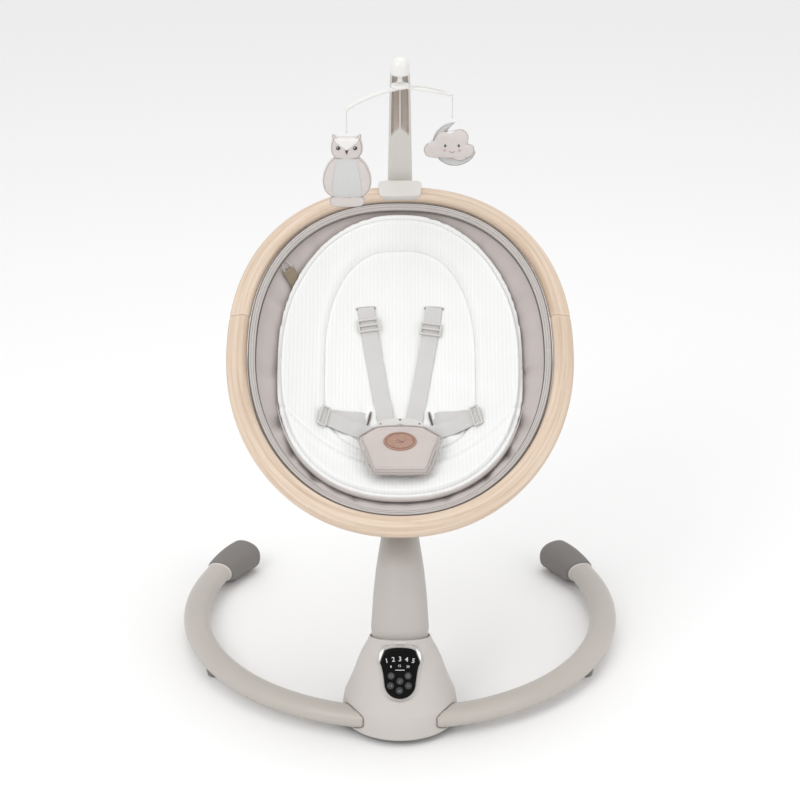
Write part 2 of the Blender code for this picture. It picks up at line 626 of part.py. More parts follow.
cut = 0.0012
add("ring_upper", ring_half("ring_upper", RING_JOINT_ANGLE + cut, math.pi - RING_JOINT_ANGLE - cut), WOOD, seat_frame)
add("ring_lower", ring_half("ring_lower", math.pi - RING_JOINT_ANGLE + cut, 2 * math.pi + RING_JOINT_ANGLE - cut),
    WOOD, seat_frame)


def dish_mesh(name, place, columns=32, rows=16):
    """The lower half of a unit ball, each point sent through place(angle, reach)."""
    bm = bmesh.new()
    bmesh.ops.create_uvsphere(bm, u_segments=columns, v_segments=rows, radius=1.0)
    bmesh.ops.delete(bm, geom=[v for v in bm.verts if v.co.z > 0.001], context="VERTS")
    for vert in bm.verts:
        reach = min(1.0, math.hypot(vert.co.x, vert.co.y))
        vert.co = place(math.atan2(vert.co.y, vert.co.x), reach)
    return mesh_of(bm, name)


def bowl_place(angle, reach):
    rim = egg(angle, BOWL_EDGE) - Vector((0, RING_WIDEST_S, 0))
    x, y = rim.x * reach, rim.y * reach + RING_WIDEST_S
    return Vector((x, y, bowl_height(x, y) + BOWL_RIM_DROP))


BOWL_RIM_DROP = -0.002
bowl = add("bowl_fabric", dish_mesh("bowl_fabric", bowl_place, 32, 14), FABRIC, seat_frame)
shell(bowl, BOWL_THICK, 1.0)

INLAY_MIDDLE_S = 0.020


def inlay_outline(angle):
    """The newborn inlay's egg outline."""
    c, s = math.cos(angle), math.sin(angle)
    power = 2.0 if s > 0 else 2.6
    reach = (INLAY_HEAD_S - INLAY_MIDDLE_S) if s > 0 else (INLAY_MIDDLE_S - INLAY_FOOT_S)
    return Vector((INLAY_HALF_WIDTH * math.copysign(abs(c) ** (2 / power), c),
                   INLAY_MIDDLE_S + reach * math.copysign(abs(s) ** (2 / power), s), 0))


INLAY_LIFT = 0.0030


def inlay_place(angle, reach):
    rim = inlay_outline(angle) - Vector((0, INLAY_MIDDLE_S, 0))
    x, y = rim.x * reach, rim.y * reach + INLAY_MIDDLE_S
    return Vector((x, y, bowl_height(x, y) + BOWL_RIM_DROP + INLAY_LIFT))


inlay = add("seat_inlay", dish_mesh("seat_inlay", inlay_place, 28, 12), INLAY_WHITE, seat_frame)
shell(inlay, INLAY_THICK, -1.0)


def inlay_top(x, y):
    """Height of the inlay's upper surface, where the harness lies."""
    return bowl_height(x, y) + BOWL_RIM_DROP + INLAY_LIFT + INLAY_THICK


# keel: the seat's carrier under the bowl, from the foot end of the ring to its head end
def keel_low(y):
    """Height of the keel's underside on the seat's middle line."""
    return bowl_height(0, y) + BOWL_RIM_DROP - BOWL_THICK * 1.5 - KEEL_SINK - KEEL_THICK


KEEL_ENDS = (-0.262, 0.272)
keel_steps = 14
upper, lower = [], []
for i in range(keel_steps + 1):
    y = KEEL_ENDS[0] + (KEEL_ENDS[1] - KEEL_ENDS[0]) * i / keel_steps
    under = bowl_height(0, y) + BOWL_RIM_DROP - BOWL_THICK * 1.5 - KEEL_SINK
    slope = (bowl_height(0, y + 0.001) - bowl_height(0, y - 0.001)) / 0.002
    upper.append((y, under))
    step = KEEL_THICK / math.hypot(1.0, slope)
    lower.append((y + step * slope, under - step))
keel_mesh = moved(outline_mesh("seat_keel", upper + lower[::-1], KEEL_WIDTH / 2), SIDE_VIEW)
keel = add("seat_keel", keel_mesh, PLASTIC, seat_frame, smooth=False)

# the lug hangs from the keel into the column head and turns on the recline pin
to_seat = seat_frame.rotation_euler.to_matrix().inverted()
pin_local = to_seat @ (RECLINE - SEAT_CENTRE)
keel_under = keel_low(pin_local.y)
lug_points = []
for i in range(9):
    angle = math.radians(-180 + 180 * i / 8)
    lug_points.append((pin_local.y + (LUG_RADIUS - 0.001) * math.cos(angle),
                       pin_local.z + (LUG_RADIUS - 0.001) * math.sin(angle)))
lug_points += [(pin_local.y + LUG_RADIUS - 0.001, keel_under + 0.004),
               (pin_local.y - LUG_RADIUS + 0.001, keel_under + 0.004)]
lug = cutter("recline_lug", moved(outline_mesh("recline_lug", lug_points, LUG_HALF), SIDE_VIEW), seat_frame)
boolean(keel, lug, "UNION")
hole_mesh = rod_mesh("lug_hole", PIN_RADIUS + RUN + 0.0001, (-0.05, pin_local.y, pin_local.z),
                     (0.05, pin_local.y, pin_local.z), 24)
boolean(keel, cutter("lug_hole", hole_mesh, seat_frame))

# recline lever: a sprung paddle on two small ears under the keel, behind the lug
LEVER_S = pin_local.y + 0.062
LEVER_H = keel_low(LEVER_S) - 0.0090
LEVER_PIN = 0.0030
LEVER_HALF = 0.0245
for side, word in ((-1, "left"), (1, "right")):
    ear_points = [(LEVER_S - 0.007, LEVER_H + 0.014), (LEVER_S - 0.006, LEVER_H - 0.004), (LEVER_S, LEVER_H - 0.0065),
                  (LEVER_S + 0.006, LEVER_H - 0.004), (LEVER_S + 0.007, LEVER_H + 0.014)]
    ear = moved(outline_mesh(f"lever_ear_{word}", ear_points, 0.0018), SIDE_VIEW)
    moved(ear, Matrix.Translation((side * (LEVER_HALF + 0.0028), 0, 0)))
    boolean(keel, cutter(f"lever_ear_{word}", ear, seat_frame), "UNION")
hole_mesh = rod_mesh("lever_pin_hole", LEVER_PIN + 0.0003, (-0.05, LEVER_S, LEVER_H), (0.05, LEVER_S, LEVER_H), 16)
boolean(keel, cutter("lever_pin_hole", hole_mesh, seat_frame))
paddle_points = [(LEVER_S - 0.0045, LEVER_H + 0.0035), (LEVER_S - 0.0045, LEVER_H - 0.0045)]
paddle_points += [(LEVER_S + reach, keel_low(LEVER_S + reach) - 0.0125) for reach in (0.015, 0.032, 0.050)]
paddle_points += [(LEVER_S + reach, keel_low(LEVER_S + reach) - 0.0060) for reach in (0.050, 0.032, 0.015)]
paddle = moved(outline_mesh("recline_lever", paddle_points, LEVER_HALF), SIDE_VIEW)
paddle_node = add("recline_lever", paddle, DARK_RUBBER, seat_frame, smooth=False)
stub = rod_mesh("lever_pin", LEVER_PIN, (-LEVER_HALF - 0.0046, LEVER_S, LEVER_H),
                (LEVER_HALF + 0.0046, LEVER_S, LEVER_H), 16)
boolean(paddle_node, cutter("lever_pin", stub, seat_frame), "UNION")


# ---- harness ----
SLOT_X, SLOT_S = 0.0515, 0.138        # where a shoulder strap leaves the inlay
JOIN_X, JOIN_S = 0.0195, -0.057      # where it reaches its tongue
WAIST_OUT = Vector((0.115, -0.060, 0))
WAIST_IN = Vector((0.034, -0.081, 0))
ADJUSTER_AT = 0.19                   # share of the way from the slot to the tongue


def strap_height(place, across):
    """Clear height of a strap over the inlay, checked over its width."""
    return max(inlay_top(*(place + across * k).to_2d()) for k in (-0.6, 0, 0.6)) + WEB_LIFT


def strap(name, start, end, steps, width, thick, lift=0.0):
    """Flat webbing laid on the inlay between two points of its plane."""
    along = (end - start).normalized()
    across = Vector((-along.y, along.x, 0)) * width
    upper, lower = [], []
    for i in range(steps + 1):
        place = start.lerp(end, i / steps)
        reach = (place - start).length
        height = strap_height(place, across) + lift
        upper.append((reach, height + thick / 2))
        lower.append((reach, height - thick / 2))
    mesh = outline_mesh(name, upper + lower[::-1], width / 2)
    # local X runs along the strap, local Y up out of the seat
    frame = Matrix((along, Vector((0, 0, 1)), along.cross(Vector((0, 0, 1))))).transposed().to_4x4()
    return add(name, moved(mesh, Matrix.Translation(start) @ frame), WEBBING, seat_frame, smooth=False)


def frame_on(place, along, lift):
    """A frame on the webbing: X along it, Y across it, Z out of the seat."""
    along = along.normalized()
    across = Vector((0, 0, 1)).cross(along)
    before, after = place - along * 0.012, place + along * 0.012
    low, high = strap_height(before, across * WEB_WIDTH), strap_height(after, across * WEB_WIDTH)
    along = (along * 0.024 + Vector((0, 0, high - low))).normalized()
    turn = Matrix((along, across, along.cross(across))).transposed().to_4x4()
    return Matrix.Translation((place.x, place.y, (low + high) / 2 + lift)) @ turn


for side, word in ((-1, "left"), (1, "right")):
    slot = Vector((side * SLOT_X, SLOT_S, 0))
    joint = Vector((side * JOIN_X, JOIN_S, 0))
    strap(f"shoulder_strap_{word}", slot, joint, 8, WEB_WIDTH, WEB_THICK)
    place = slot.lerp(joint, ADJUSTER_AT)
    slide = box_mesh("adjuster", (0.020, 0.033, 0.0036), (0, 0, WEB_THICK / 2 + 0.0022))
    add(f"shoulder_adjuster_{word}", moved(slide, frame_on(place, joint - slot, 0.0008)), PLASTIC_LIGHT, seat_frame)
    outer = Vector((side * WAIST_OUT.x, WAIST_OUT.y, 0))
    inner = Vector((side * WAIST_IN.x, WAIST_IN.y, 0))
    strap(f"waist_strap_{word}", outer, inner, 5, WEB_WIDTH, WEB_THICK * 2, 0.0012)
    slide = box_mesh("adjuster", (0.013, 0.033, 0.0036), (0.006, 0, WEB_THICK + 0.0028))
    add(f"waist_adjuster_{word}", moved(slide, frame_on(outer, inner - outer, 0.0012)), PLASTIC_LIGHT, seat_frame)

BUCKLE_S = -0.085
BUCKLE_THICK = 0.0115
BUCKLE_HALF_X = 0.0200
BUCKLE_HALF_Y = 0.0180
buckle_low = inlay_top(BUCKLE_HALF_X, BUCKLE_S) + 0.0027
BUCKLE_SLOPE = math.radians(11.5)
buckle_frame = empty("buckle_frame", (0, BUCKLE_S, buckle_low), (-BUCKLE_SLOPE, 0, 0), seat_frame)
buckle = add("harness_buckle", box_mesh("harness_buckle", (2 * BUCKLE_HALF_X, 2 * BUCKLE_HALF_Y, BUCKLE_THICK),
                                        (0, 0, BUCKLE_THICK / 2)), PLASTIC_LIGHT, buckle_frame)
soften(buckle, 0.002, 2)
RELEASE_RADIUS = 0.0085
RELEASE_PROUD = 0.0008
well = rod_mesh("release_well", RELEASE_RADIUS + 0.0003, (0, 0, 0.0035), (0, 0, 0.03), 24)
boolean(buckle, cutter("release_well", well, buckle_frame))
add("buckle_button", rod_mesh("buckle_button", RELEASE_RADIUS, (0, 0, BUCKLE_THICK + RELEASE_PROUD - 0.0055),
                              (0, 0, BUCKLE_THICK + RELEASE_PROUD), 24), BUTTON_GREY, buckle_frame)

PAD_TOP_S, PAD_WIDE_S, PAD_LOW_S = -0.067, -0.094, -0.168
PAD_TOP_HALF, PAD_WIDE_HALF, PAD_LOW_HALF = 0.036, 0.0585, 0.040
PAD_SLOPE = math.radians(17.0)
pad_low = buckle_low + BUCKLE_THICK + RELEASE_PROUD + 0.0015
pad_frame = empty("pad_frame", (0, PAD_TOP_S, pad_low), (-PAD_SLOPE, 0, 0), seat_frame)


def pad_outline():
    """Six-sided pad, wide below its top edge, with drawn-in lower corners."""
    long = (PAD_TOP_S - PAD_LOW_S) / math.cos(PAD_SLOPE)
    wide = (PAD_TOP_S - PAD_WIDE_S) / math.cos(PAD_SLOPE)
    right = [(PAD_TOP_HALF, 0.0), (PAD_WIDE_HALF - 0.003, -wide * 0.80), (PAD_WIDE_HALF, -wide),
             (PAD_WIDE_HALF - 0.001, -wide - 0.006), (PAD_LOW_HALF + 0.003, -long + 0.010), (PAD_LOW_HALF - 0.004, -long + 0.001),
             (PAD_LOW_HALF - 0.012, -long)]
    return right + [(-x, y) for x, y in reversed(right)]


pad_mesh = outline_mesh("crotch_pad", pad_outline(), PAD_THICK / 2, 0.002)
add("crotch_pad", moved(pad_mesh, Matrix.Translation((0, 0, PAD_THICK / 2))), PAD_FABRIC, pad_frame)
BADGE_HALF = (0.0240, 0.0160)
badge_points = [(BADGE_HALF[0] * math.cos(2 * math.pi * i / 28), BADGE_HALF[1] * math.sin(2 * math.pi * i / 28))
                for i in range(28)]
badge_mesh = outline_mesh("pad_badge", badge_points, 0.0007)
add("pad_badge", moved(badge_mesh, Matrix.Translation((0, -0.045, PAD_THICK + 0.0007 + GAP))), BADGE_LEATHER, pad_frame)

# side label sewn near the bowl's edge
LABEL_ANGLE = math.radians(140)
rim = egg(LABEL_ANGLE, BOWL_EDGE)
inward = (Vector((0, RING_WIDEST_S, 0)) - rim).normalized()
label_place = rim + inward * 0.0205
label_height = bowl_height(label_place.x, label_place.y) + BOWL_RIM_DROP
wall_rise = (bowl_height(*(label_place - inward * 0.003).to_2d())
             - bowl_height(*(label_place + inward * 0.003).to_2d())) / 0.006
down = (inward - Vector((0, 0, wall_rise))).normalized()
sideways = Vector((0, 0, 1)).cross(inward).normalized()
label_turn = Matrix((sideways, down, sideways.cross(down))).transposed().to_4x4()
label = box_mesh("side_label", (0.022, 0.024, 0.0014))
lift = sideways.cross(down).normalized()
if lift.z < 0:
    lift = -lift
label_at = label_place + Vector((0, 0, label_height)) + lift * 0.0050
add("side_label", moved(label, Matrix.Translation(label_at) @ label_turn), BADGE_LEATHER, seat_frame)


# ---- toy bar: saddle on the ring's head, plug-in bar, mobile stem ----
SADDLE_HALF = 0.034
BAR_FOOT = Vector((0, 0.1950, 0.6340))
saddle_s = RING_WIDEST_S + RING_HEAD - RING_BAND / 2
saddle = add("head_saddle", box_mesh("head_saddle", (2 * SADDLE_HALF, RING_BAND + 0.003, RING_THICK + 0.012),
                                     (0, saddle_s + 0.0025, -0.0005)), PLASTIC_LIGHT, seat_frame)
boss = box_mesh("socket_boss", (0.052, 0.021, 0.031), BAR_FOOT + Vector((0, 0, 0.0055)))
boolean(saddle, cutter("socket_boss", boss, origin), "UNION")


def ring_band_cutter():
    """The ring's band a little fattened, over the width of the saddle."""
    return ring_half("ring_band", math.radians(60), math.radians(120), 12, 0.0012)


boolean(saddle, cutter("ring_band", ring_band_cutter(), seat_frame))
bar_socket = box_mesh("bar_socket", (BAR_WIDTH_FOOT + 2 * GAP, BAR_THICK + 2 * GAP, 0.08),
                      BAR_FOOT + Vector((0, 0, 0.04 - GAP)))
boolean(saddle, cutter("bar_socket", bar_socket, origin))

BAR_ROUTE = [(BAR_FOOT.y, BAR_FOOT.z), (0.1955, 0.6800), (0.1960, 0.7150), (0.1925, 0.7500), (0.1800, 0.7860),
             (0.1565, 0.8160), (0.1200, 0.8420), (0.0750, 0.8640), (0.0300, 0.8820), (-0.0110, 0.8930)]


def bar_mesh():
    """A flat tapered bar swept along its side-view route, straight in its socket, rounded at the edges."""
    bm = bmesh.new()
    rings = []
    route = [Vector((0, y, z)) for y, z in BAR_ROUTE]
    last = len(route) - 1
    for i, point in enumerate(route):
        run = (route[min(i + 1, last)] - route[max(i - 1, 0)]).normalized()
        if i == 0:
            run = Vector((0, 0, 1))
        front = run.cross(Vector((1, 0, 0))).normalized()
        share = max(0.0, (i - 1) / (last - 1))
        half = (BAR_WIDTH_FOOT + (BAR_WIDTH_TIP - BAR_WIDTH_FOOT) * share ** 0.7) / 2
        thick = BAR_THICK / 2
        section = [(half, thick * 0.4), (half * 0.8, thick), (-half * 0.8, thick), (-half, thick * 0.4),
                   (-half, -thick * 0.4), (-half * 0.8, -thick), (half * 0.8, -thick), (half, -thick * 0.4)]
        rings.append([bm.verts.new(point + Vector((x, 0, 0)) + front * t) for x, t in section])
    for first, second in zip(rings, rings[1:]):
        for i in range(8):
            j = (i + 1) % 8
            bm.faces.new((first[i], first[j], second[j], second[i]))
    bm.faces.new(rings[0])
    bm.faces.new(list(reversed(rings[-1])))
    return mesh_of(bm, "toy_bar")


bar = add("toy_bar", bar_mesh(), PLASTIC_LIGHT, origin)
knob = bmesh.new()
bmesh.ops.create_uvsphere(knob, u_segments=20, v_segments=10, radius=0.0135)
bmesh.ops.translate(knob, vec=(HUB_POINT.x, HUB_POINT.y, 0.8985), verts=knob.verts)
boolean(bar, cutter("bar_knob", mesh_of(knob, "bar_knob"), origin), "UNION")
STEM_TOP = 0.8985 - 0.0100
HUB_THICK = 0.008
hub_top = HUB_POINT.z + HUB_THICK / 2
stem = rod_mesh("mobile_stem", 0.0035, (HUB_POINT.x, HUB_POINT.y, hub_top + GAP), (HUB_POINT.x, HUB_POINT.y, STEM_TOP),
                12)
boolean(bar, cutter("mobile_stem", stem, origin), "UNION")


# ---- mobile: hub, curved crossbar, strings, stuffed toys ----
hub_half = Vector((0, 0, HUB_THICK / 2))
hub = rod_mesh("mobile_hub", 0.0130, HUB_POINT - hub_half, HUB_POINT + hub_half,
               24)
add("mobile_hub", hub, PLASTIC_LIGHT, origin)
CROSS_RADIUS = 0.0032
cross_top = HUB_POINT.z - HUB_THICK / 2 - GAP
arm_way = Vector((math.cos(MOBILE_TURN), math.sin(MOBILE_TURN), 0))
cross_points = []
for i in range(13):
    reach = -MOBILE_RADIUS + 2 * MOBILE_RADIUS * i / 12
    drop = MOBILE_DROP * (reach / MOBILE_RADIUS) ** 2
    cross_points.append(Vector((HUB_POINT.x, HUB_POINT.y, cross_top - CROSS_RADIUS - drop)) + arm_way * reach)
add("mobile_crossbar", curve_mesh("mobile_crossbar", cross_points, CROSS_RADIUS, 2), PLASTIC_LIGHT, origin)

FRONT_VIEW = Matrix.Rotation(math.pi / 2, 4, "X")


def hang(word, tip, length):
    """The toy's string under a crossbar tip; returns where it ends."""
    top = tip - Vector((0, 0, CROSS_RADIUS + GAP))
    low = top - Vector((0, 0, length))
    points = [top.lerp(low, i / 4) for i in range(5)]
    add(f"{word}_string", curve_mesh(f"{word}_string", points, STRING_RADIUS, 2), WEBBING, origin)
    return low - Vector((0, 0, GAP))


def toy(name, points, place, half_thick, edge=0.004):
    """A stuffed flat toy: an outline in the front view, hung at the given place."""
    mesh = outline_mesh(name, points, half_thick, edge)
    return add(name, moved(mesh, Matrix.Translation(place) @ FRONT_VIEW), TOY_FABRIC, origin)


owl_half = [(0.006, -0.005), (0.017, -0.003), (0.0175, -0.012), (0.018, -0.026), (0.016, -0.034), (0.026, -0.046),
            (0.0305, -0.064), (0.0285, -0.080), (0.020, -0.089), (0.021, -0.093), (0.021, -0.104)]
owl_end = hang("owl", cross_points[0], STRING_LENGTH)
toy("owl_toy", owl_half + [(-x, z) for x, z in reversed(owl_half)], owl_end + Vector((0, 0, 0.0012)), TOY_THICK / 2)


def arc(centre, radius, start, end, steps):
    return [(centre[0] + radius * math.cos(math.radians(start + (end - start) * i / steps)),
             centre[1] + radius * math.sin(math.radians(start + (end - start) * i / steps))) for i in range(steps + 1)]


moon_end = hang("moon", cross_points[-1], STRING_LENGTH - 0.0015)
MOON_RADIUS = 0.0300
moon_middle = (0.004, -MOON_RADIUS - 0.0052)
moon_points = arc(moon_middle, MOON_RADIUS, 78, 342, 18)
moon_points += arc((moon_middle[0] + 0.0125, moon_middle[1] + 0.0085), MOON_RADIUS * 0.80, 330, 98, 12)
toy("moon_toy", moon_points, moon_end + Vector((0, 0.0068, 0)), 0.0062, 0.0)
cloud_points = arc((-0.024, -0.044), 0.0105, 270, 110, 6) + arc((-0.008, -0.031), 0.0120, 160, 50, 5)
cloud_points += arc((0.014, -0.029), 0.0130, 130, 10, 5) + arc((0.024, -0.044), 0.0105, 50, -90, 6)
toy("cloud_toy", cloud_points, moon_end + Vector((-0.004, -0.0068, 0)), 0.0062, 0.003)


# ---- the origin stands under the middle of the whole object ----
bpy.context.view_layer.update()
graph = bpy.context.evaluated_depsgraph_get()
corners = []
for made in parts.objects:
    if made.type == "MESH":
        shape = made.evaluated_get(graph)
        corners += [made.matrix_world @ vert.co for vert in shape.data.vertices]
origin.location.y = -(min(c.y for c in corners) + max(c.y for c in corners)) / 2
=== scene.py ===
import math

import bmesh
import bpy
import numpy as np
from mathutils import Matrix, Vector


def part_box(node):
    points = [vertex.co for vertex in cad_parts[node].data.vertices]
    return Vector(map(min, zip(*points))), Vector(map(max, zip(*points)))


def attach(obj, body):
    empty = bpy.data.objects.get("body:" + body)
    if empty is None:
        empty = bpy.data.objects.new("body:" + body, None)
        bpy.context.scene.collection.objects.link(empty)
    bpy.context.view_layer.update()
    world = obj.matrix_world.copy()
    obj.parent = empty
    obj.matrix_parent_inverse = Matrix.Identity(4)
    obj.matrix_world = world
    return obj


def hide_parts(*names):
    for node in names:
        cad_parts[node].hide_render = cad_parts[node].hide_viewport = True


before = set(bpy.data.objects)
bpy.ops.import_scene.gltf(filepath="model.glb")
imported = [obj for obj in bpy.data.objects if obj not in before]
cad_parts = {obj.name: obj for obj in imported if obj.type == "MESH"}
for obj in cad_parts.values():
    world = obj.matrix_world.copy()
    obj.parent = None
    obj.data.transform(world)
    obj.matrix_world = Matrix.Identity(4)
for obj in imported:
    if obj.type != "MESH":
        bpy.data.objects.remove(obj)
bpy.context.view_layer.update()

# ======== where the swing stands ========
# The swing's own middle line is x = 0. Its drawing was laid out from the middle of the floor tube, and the
# housing's rubber ring tells how far that point stands from the row's origin.
ring_low, ring_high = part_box("housing_foot_ring")
HOUSING_FROM_ARC = -0.282
SHIFT = Vector((0, (ring_low[1] + ring_high[1]) / 2 - HOUSING_FROM_ARC, 0))

# ======== studio ========
# A seamless pale floor, one broad soft light from the upper left front, a weaker one from the right and a
# wide
# one overhead, with the camera a little above the seat and square to the front.
camera_data = bpy.data.cameras.new("studio_camera")
camera_data.lens = 108
camera_data.sensor_width = 36
camera = bpy.data.objects.new("studio_camera", camera_data)
bpy.context.scene.collection.objects.link(camera)
camera.location = SHIFT + Vector((0, -3.319, 1.776))
camera.rotation_euler = (math.radians(90 - 22.8), 0, 0)
bpy.context.scene.camera = camera


def studio_light(name, place, size, watts, aim=(0, 0.05, 0.45)):
    data = bpy.data.lights.new(name, "AREA")
    data.shape = "SQUARE"
    data.size = size
    data.energy = watts
    lamp = bpy.data.objects.new(name, data)
    bpy.context.scene.collection.objects.link(lamp)
    lamp.location = place
    lamp.rotation_euler = (Vector(aim) - Vector(place)).to_track_quat("-Z", "Y").to_euler()
    return lamp


studio_light("soft_key", (-1.7, -2.3, 2.6), 1.6, 30)
studio_light("soft_fill", (2.3, -1.8, 1.5), 1.8, 9)
studio_light("soft_top", (0.2, 0.6, 3.0), 2.2, 15)
bpy.context.scene.view_settings.view_transform = "Standard"
world = bpy.data.worlds.new("studio_air")
bpy.context.scene.world = world
world.use_nodes = True
world.node_tree.nodes["Background"].inputs["Color"].default_value = (1.0, 1.0, 1.0, 1.0)
world.node_tree.nodes["Background"].inputs["Strength"].default_value = 0.86


def tone(red, green, blue):
    """A paint-chart colour, 0 to 255 a channel, as the light it gives back."""
    def light(step):
        share = step / 255
        return share / 12.92 if share <= 0.04045 else ((share + 0.055) / 1.055) ** 2.4
    return (light(red), light(green), light(blue), 1.0)


def shade(tree, kind, feeds=None, **settings):
    """One node in a material or a group, with its sockets fed by other nodes' outputs or by values."""
    made = tree.nodes.new(kind)
    for key, value in settings.items():
        setattr(made, key, value)
    for socket, source in (feeds or {}).items():
        if isinstance(source, bpy.types.NodeSocket):
            tree.links.new(source, made.inputs[socket])
        else:
            made.inputs[socket].default_value = source
    return made


def effect(name, inputs, outputs):
    """A shader group with named sockets: a surface effect that several finishes share."""
    group = bpy.data.node_groups.new(name, "ShaderNodeTree")
    for socket, kind, value in inputs:
        made = group.interface.new_socket(socket, in_out="INPUT", socket_type=kind)
        if value is not None:
            made.default_value = value
    for socket, kind in outputs:
        group.interface.new_socket(socket, in_out="OUTPUT", socket_type=kind)
    return group, group.nodes.new("NodeGroupInput").outputs, group.nodes.new("NodeGroupOutput").inputs


FLOAT, COLOUR, VECTOR = "NodeSocketFloat", "NodeSocketColor", "NodeSocketVector"

# mould_grain: the fine spark-eroded grain of a moulding tool, with slow cloudy colour drift in the plastic
mould_grain, given, put = effect(
    "mould_grain",
    [("Colour", COLOUR, (0.5, 0.5, 0.5, 1)), ("Grain", FLOAT, 1400.0), ("Drift", FLOAT, 0.04),
     ("Roughness", FLOAT, 0.45)],
    [("Colour", COLOUR), ("Roughness", FLOAT), ("Height", FLOAT)])
place = shade(mould_grain, "ShaderNodeTexCoord").outputs["Object"]
speck = shade(mould_grain, "ShaderNodeTexNoise", {"Vector": place, "Scale": given["Grain"], "Detail": 3.0})
cloud = shade(mould_grain, "ShaderNodeTexNoise", {"Vector": place, "Scale": 9.0, "Detail": 2.0})
fade = shade(mould_grain, "ShaderNodeMapRange", {"Value": cloud.outputs["Fac"], "From Min": 0.3,
        "From Max": 0.7})
dim = shade(mould_grain, "ShaderNodeMath", {0: 1.0, 1: given["Drift"]}, operation="SUBTRACT")
level = shade(mould_grain, "ShaderNodeMix", {2: dim.outputs[0], 3: 1.0, 0: fade.outputs[0]},
              data_type="FLOAT")
tint = shade(mould_grain, "ShaderNodeVectorMath", {0: given["Colour"], "Scale": level.outputs[0]},
             operation="SCALE")
mould_grain.links.new(tint.outputs[0], put["Colour"])
rough = shade(mould_grain, "ShaderNodeMath", {0: speck.outputs["Fac"], 1: 0.14, 2: given["Roughness"]},
              operation="MULTIPLY_ADD")
mould_grain.links.new(rough.outputs[0], put["Roughness"])
mould_grain.links.new(speck.outputs["Fac"], put["Height"])

# handled_edges: corners rubbed a little lighter and duller than the faces
handled_edges, given, put = effect(
    "handled_edges", [("Colour", COLOUR, (0.5, 0.5, 0.5, 1)), ("Rubbed", COLOUR, (0.8, 0.8, 0.8, 1)),
                      ("Amount", FLOAT, 0.5)],
    [("Colour", COLOUR), ("Mask", FLOAT)])
corner = shade(handled_edges, "ShaderNodeNewGeometry").outputs["Pointiness"]
sharp = shade(handled_edges, "ShaderNodeMapRange", {"Value": corner, "From Min": 0.51, "From Max": 0.58})
place = shade(handled_edges, "ShaderNodeTexCoord").outputs["Object"]
patch = shade(handled_edges, "ShaderNodeTexNoise", {"Vector": place, "Scale": 60.0, "Detail": 4.0})
both = shade(handled_edges, "ShaderNodeMath", {0: sharp.outputs[0], 1: patch.outputs["Fac"]},
             operation="MULTIPLY")
mask = shade(handled_edges, "ShaderNodeMath", {0: both.outputs[0], 1: given["Amount"]}, operation="MULTIPLY",
             use_clamp=True)
mixed = shade(handled_edges, "ShaderNodeMix", {0: mask.outputs[0], 6: given["Colour"], 7: given["Rubbed"]},
              data_type="RGBA")
handled_edges.links.new(mixed.outputs[2], put["Colour"])
handled_edges.links.new(mask.outputs[0], put["Mask"])


def finish_of(name):
    """A new material, its node tree and its shader."""
    made = bpy.data.materials.new(name)
    made.use_nodes = True
    tree = made.node_tree
    return made, tree, tree.nodes["Principled BSDF"]


def bumped(tree, shader, height, distance, strength=1.0):
    bump = shade(tree, "ShaderNodeBump", {"Height": height, "Distance": distance, "Strength": strength})
    tree.links.new(bump.outputs["Normal"], shader.inputs["Normal"])


def moulded(name, colour, roughness=0.42, grain=1400.0, depth=0.00004, wear=0.35, coat=0.0, metal=0.0):
    """Moulded, painted or turned goods: fine grain, slow colour drift, rubbed corners."""
    made, tree, shader = finish_of(name)
    skin = shade(tree, "ShaderNodeGroup", node_tree=mould_grain)
    skin.inputs["Colour"].default_value = colour
    skin.inputs["Grain"].default_value = grain
    skin.inputs["Roughness"].default_value = roughness
    edges = shade(tree, "ShaderNodeGroup", node_tree=handled_edges)
    edges.inputs["Rubbed"].default_value = (*(min(1.0, c * 1.35 + 0.03) for c in colour[:3]), 1.0)
    edges.inputs["Amount"].default_value = wear
    tree.links.new(skin.outputs["Colour"], edges.inputs["Colour"])
    tree.links.new(edges.outputs["Colour"], shader.inputs["Base Color"])
    tree.links.new(skin.outputs["Roughness"], shader.inputs["Roughness"])
    shader.inputs["Coat Weight"].default_value = coat
    shader.inputs["Metallic"].default_value = metal
    bumped(tree, shader, skin.outputs["Height"], depth)
    return made


floor_white, tree, shader = finish_of("floor_white")
speck = shade(tree, "ShaderNodeTexNoise", {"Scale": 3.0, "Detail": 3.0})
drift = shade(tree, "ShaderNodeMapRange", {"Value": speck.outputs["Fac"], "To Min": 0.93, "To Max": 0.95})
tree.links.new(drift.outputs[0], shader.inputs["Base Color"])
shader.inputs["Roughness"].default_value = 0.75
bpy.ops.mesh.primitive_plane_add(size=60, location=(0, 20, -0.0005))
floor = bpy.context.object
floor.name = "studio_floor"
floor.data.materials.append(floor_white)

# ======== floor tube ========
# Two bent steel tubes of oval section, painted warm grey, run from inside the housing round to the back. Each
# plugs into the housing's side and into a rubber cap.
ARC_HALF_WIDTH, ARC_HALF_DEPTH = 0.315, 0.331
TUBE_HALF_WIDTH, TUBE_HALF_HEIGHT, TUBE_Z = 0.020, 0.01425, 0.0263
TUBE_FROM, TUBE_TO = 7.6, 112.9


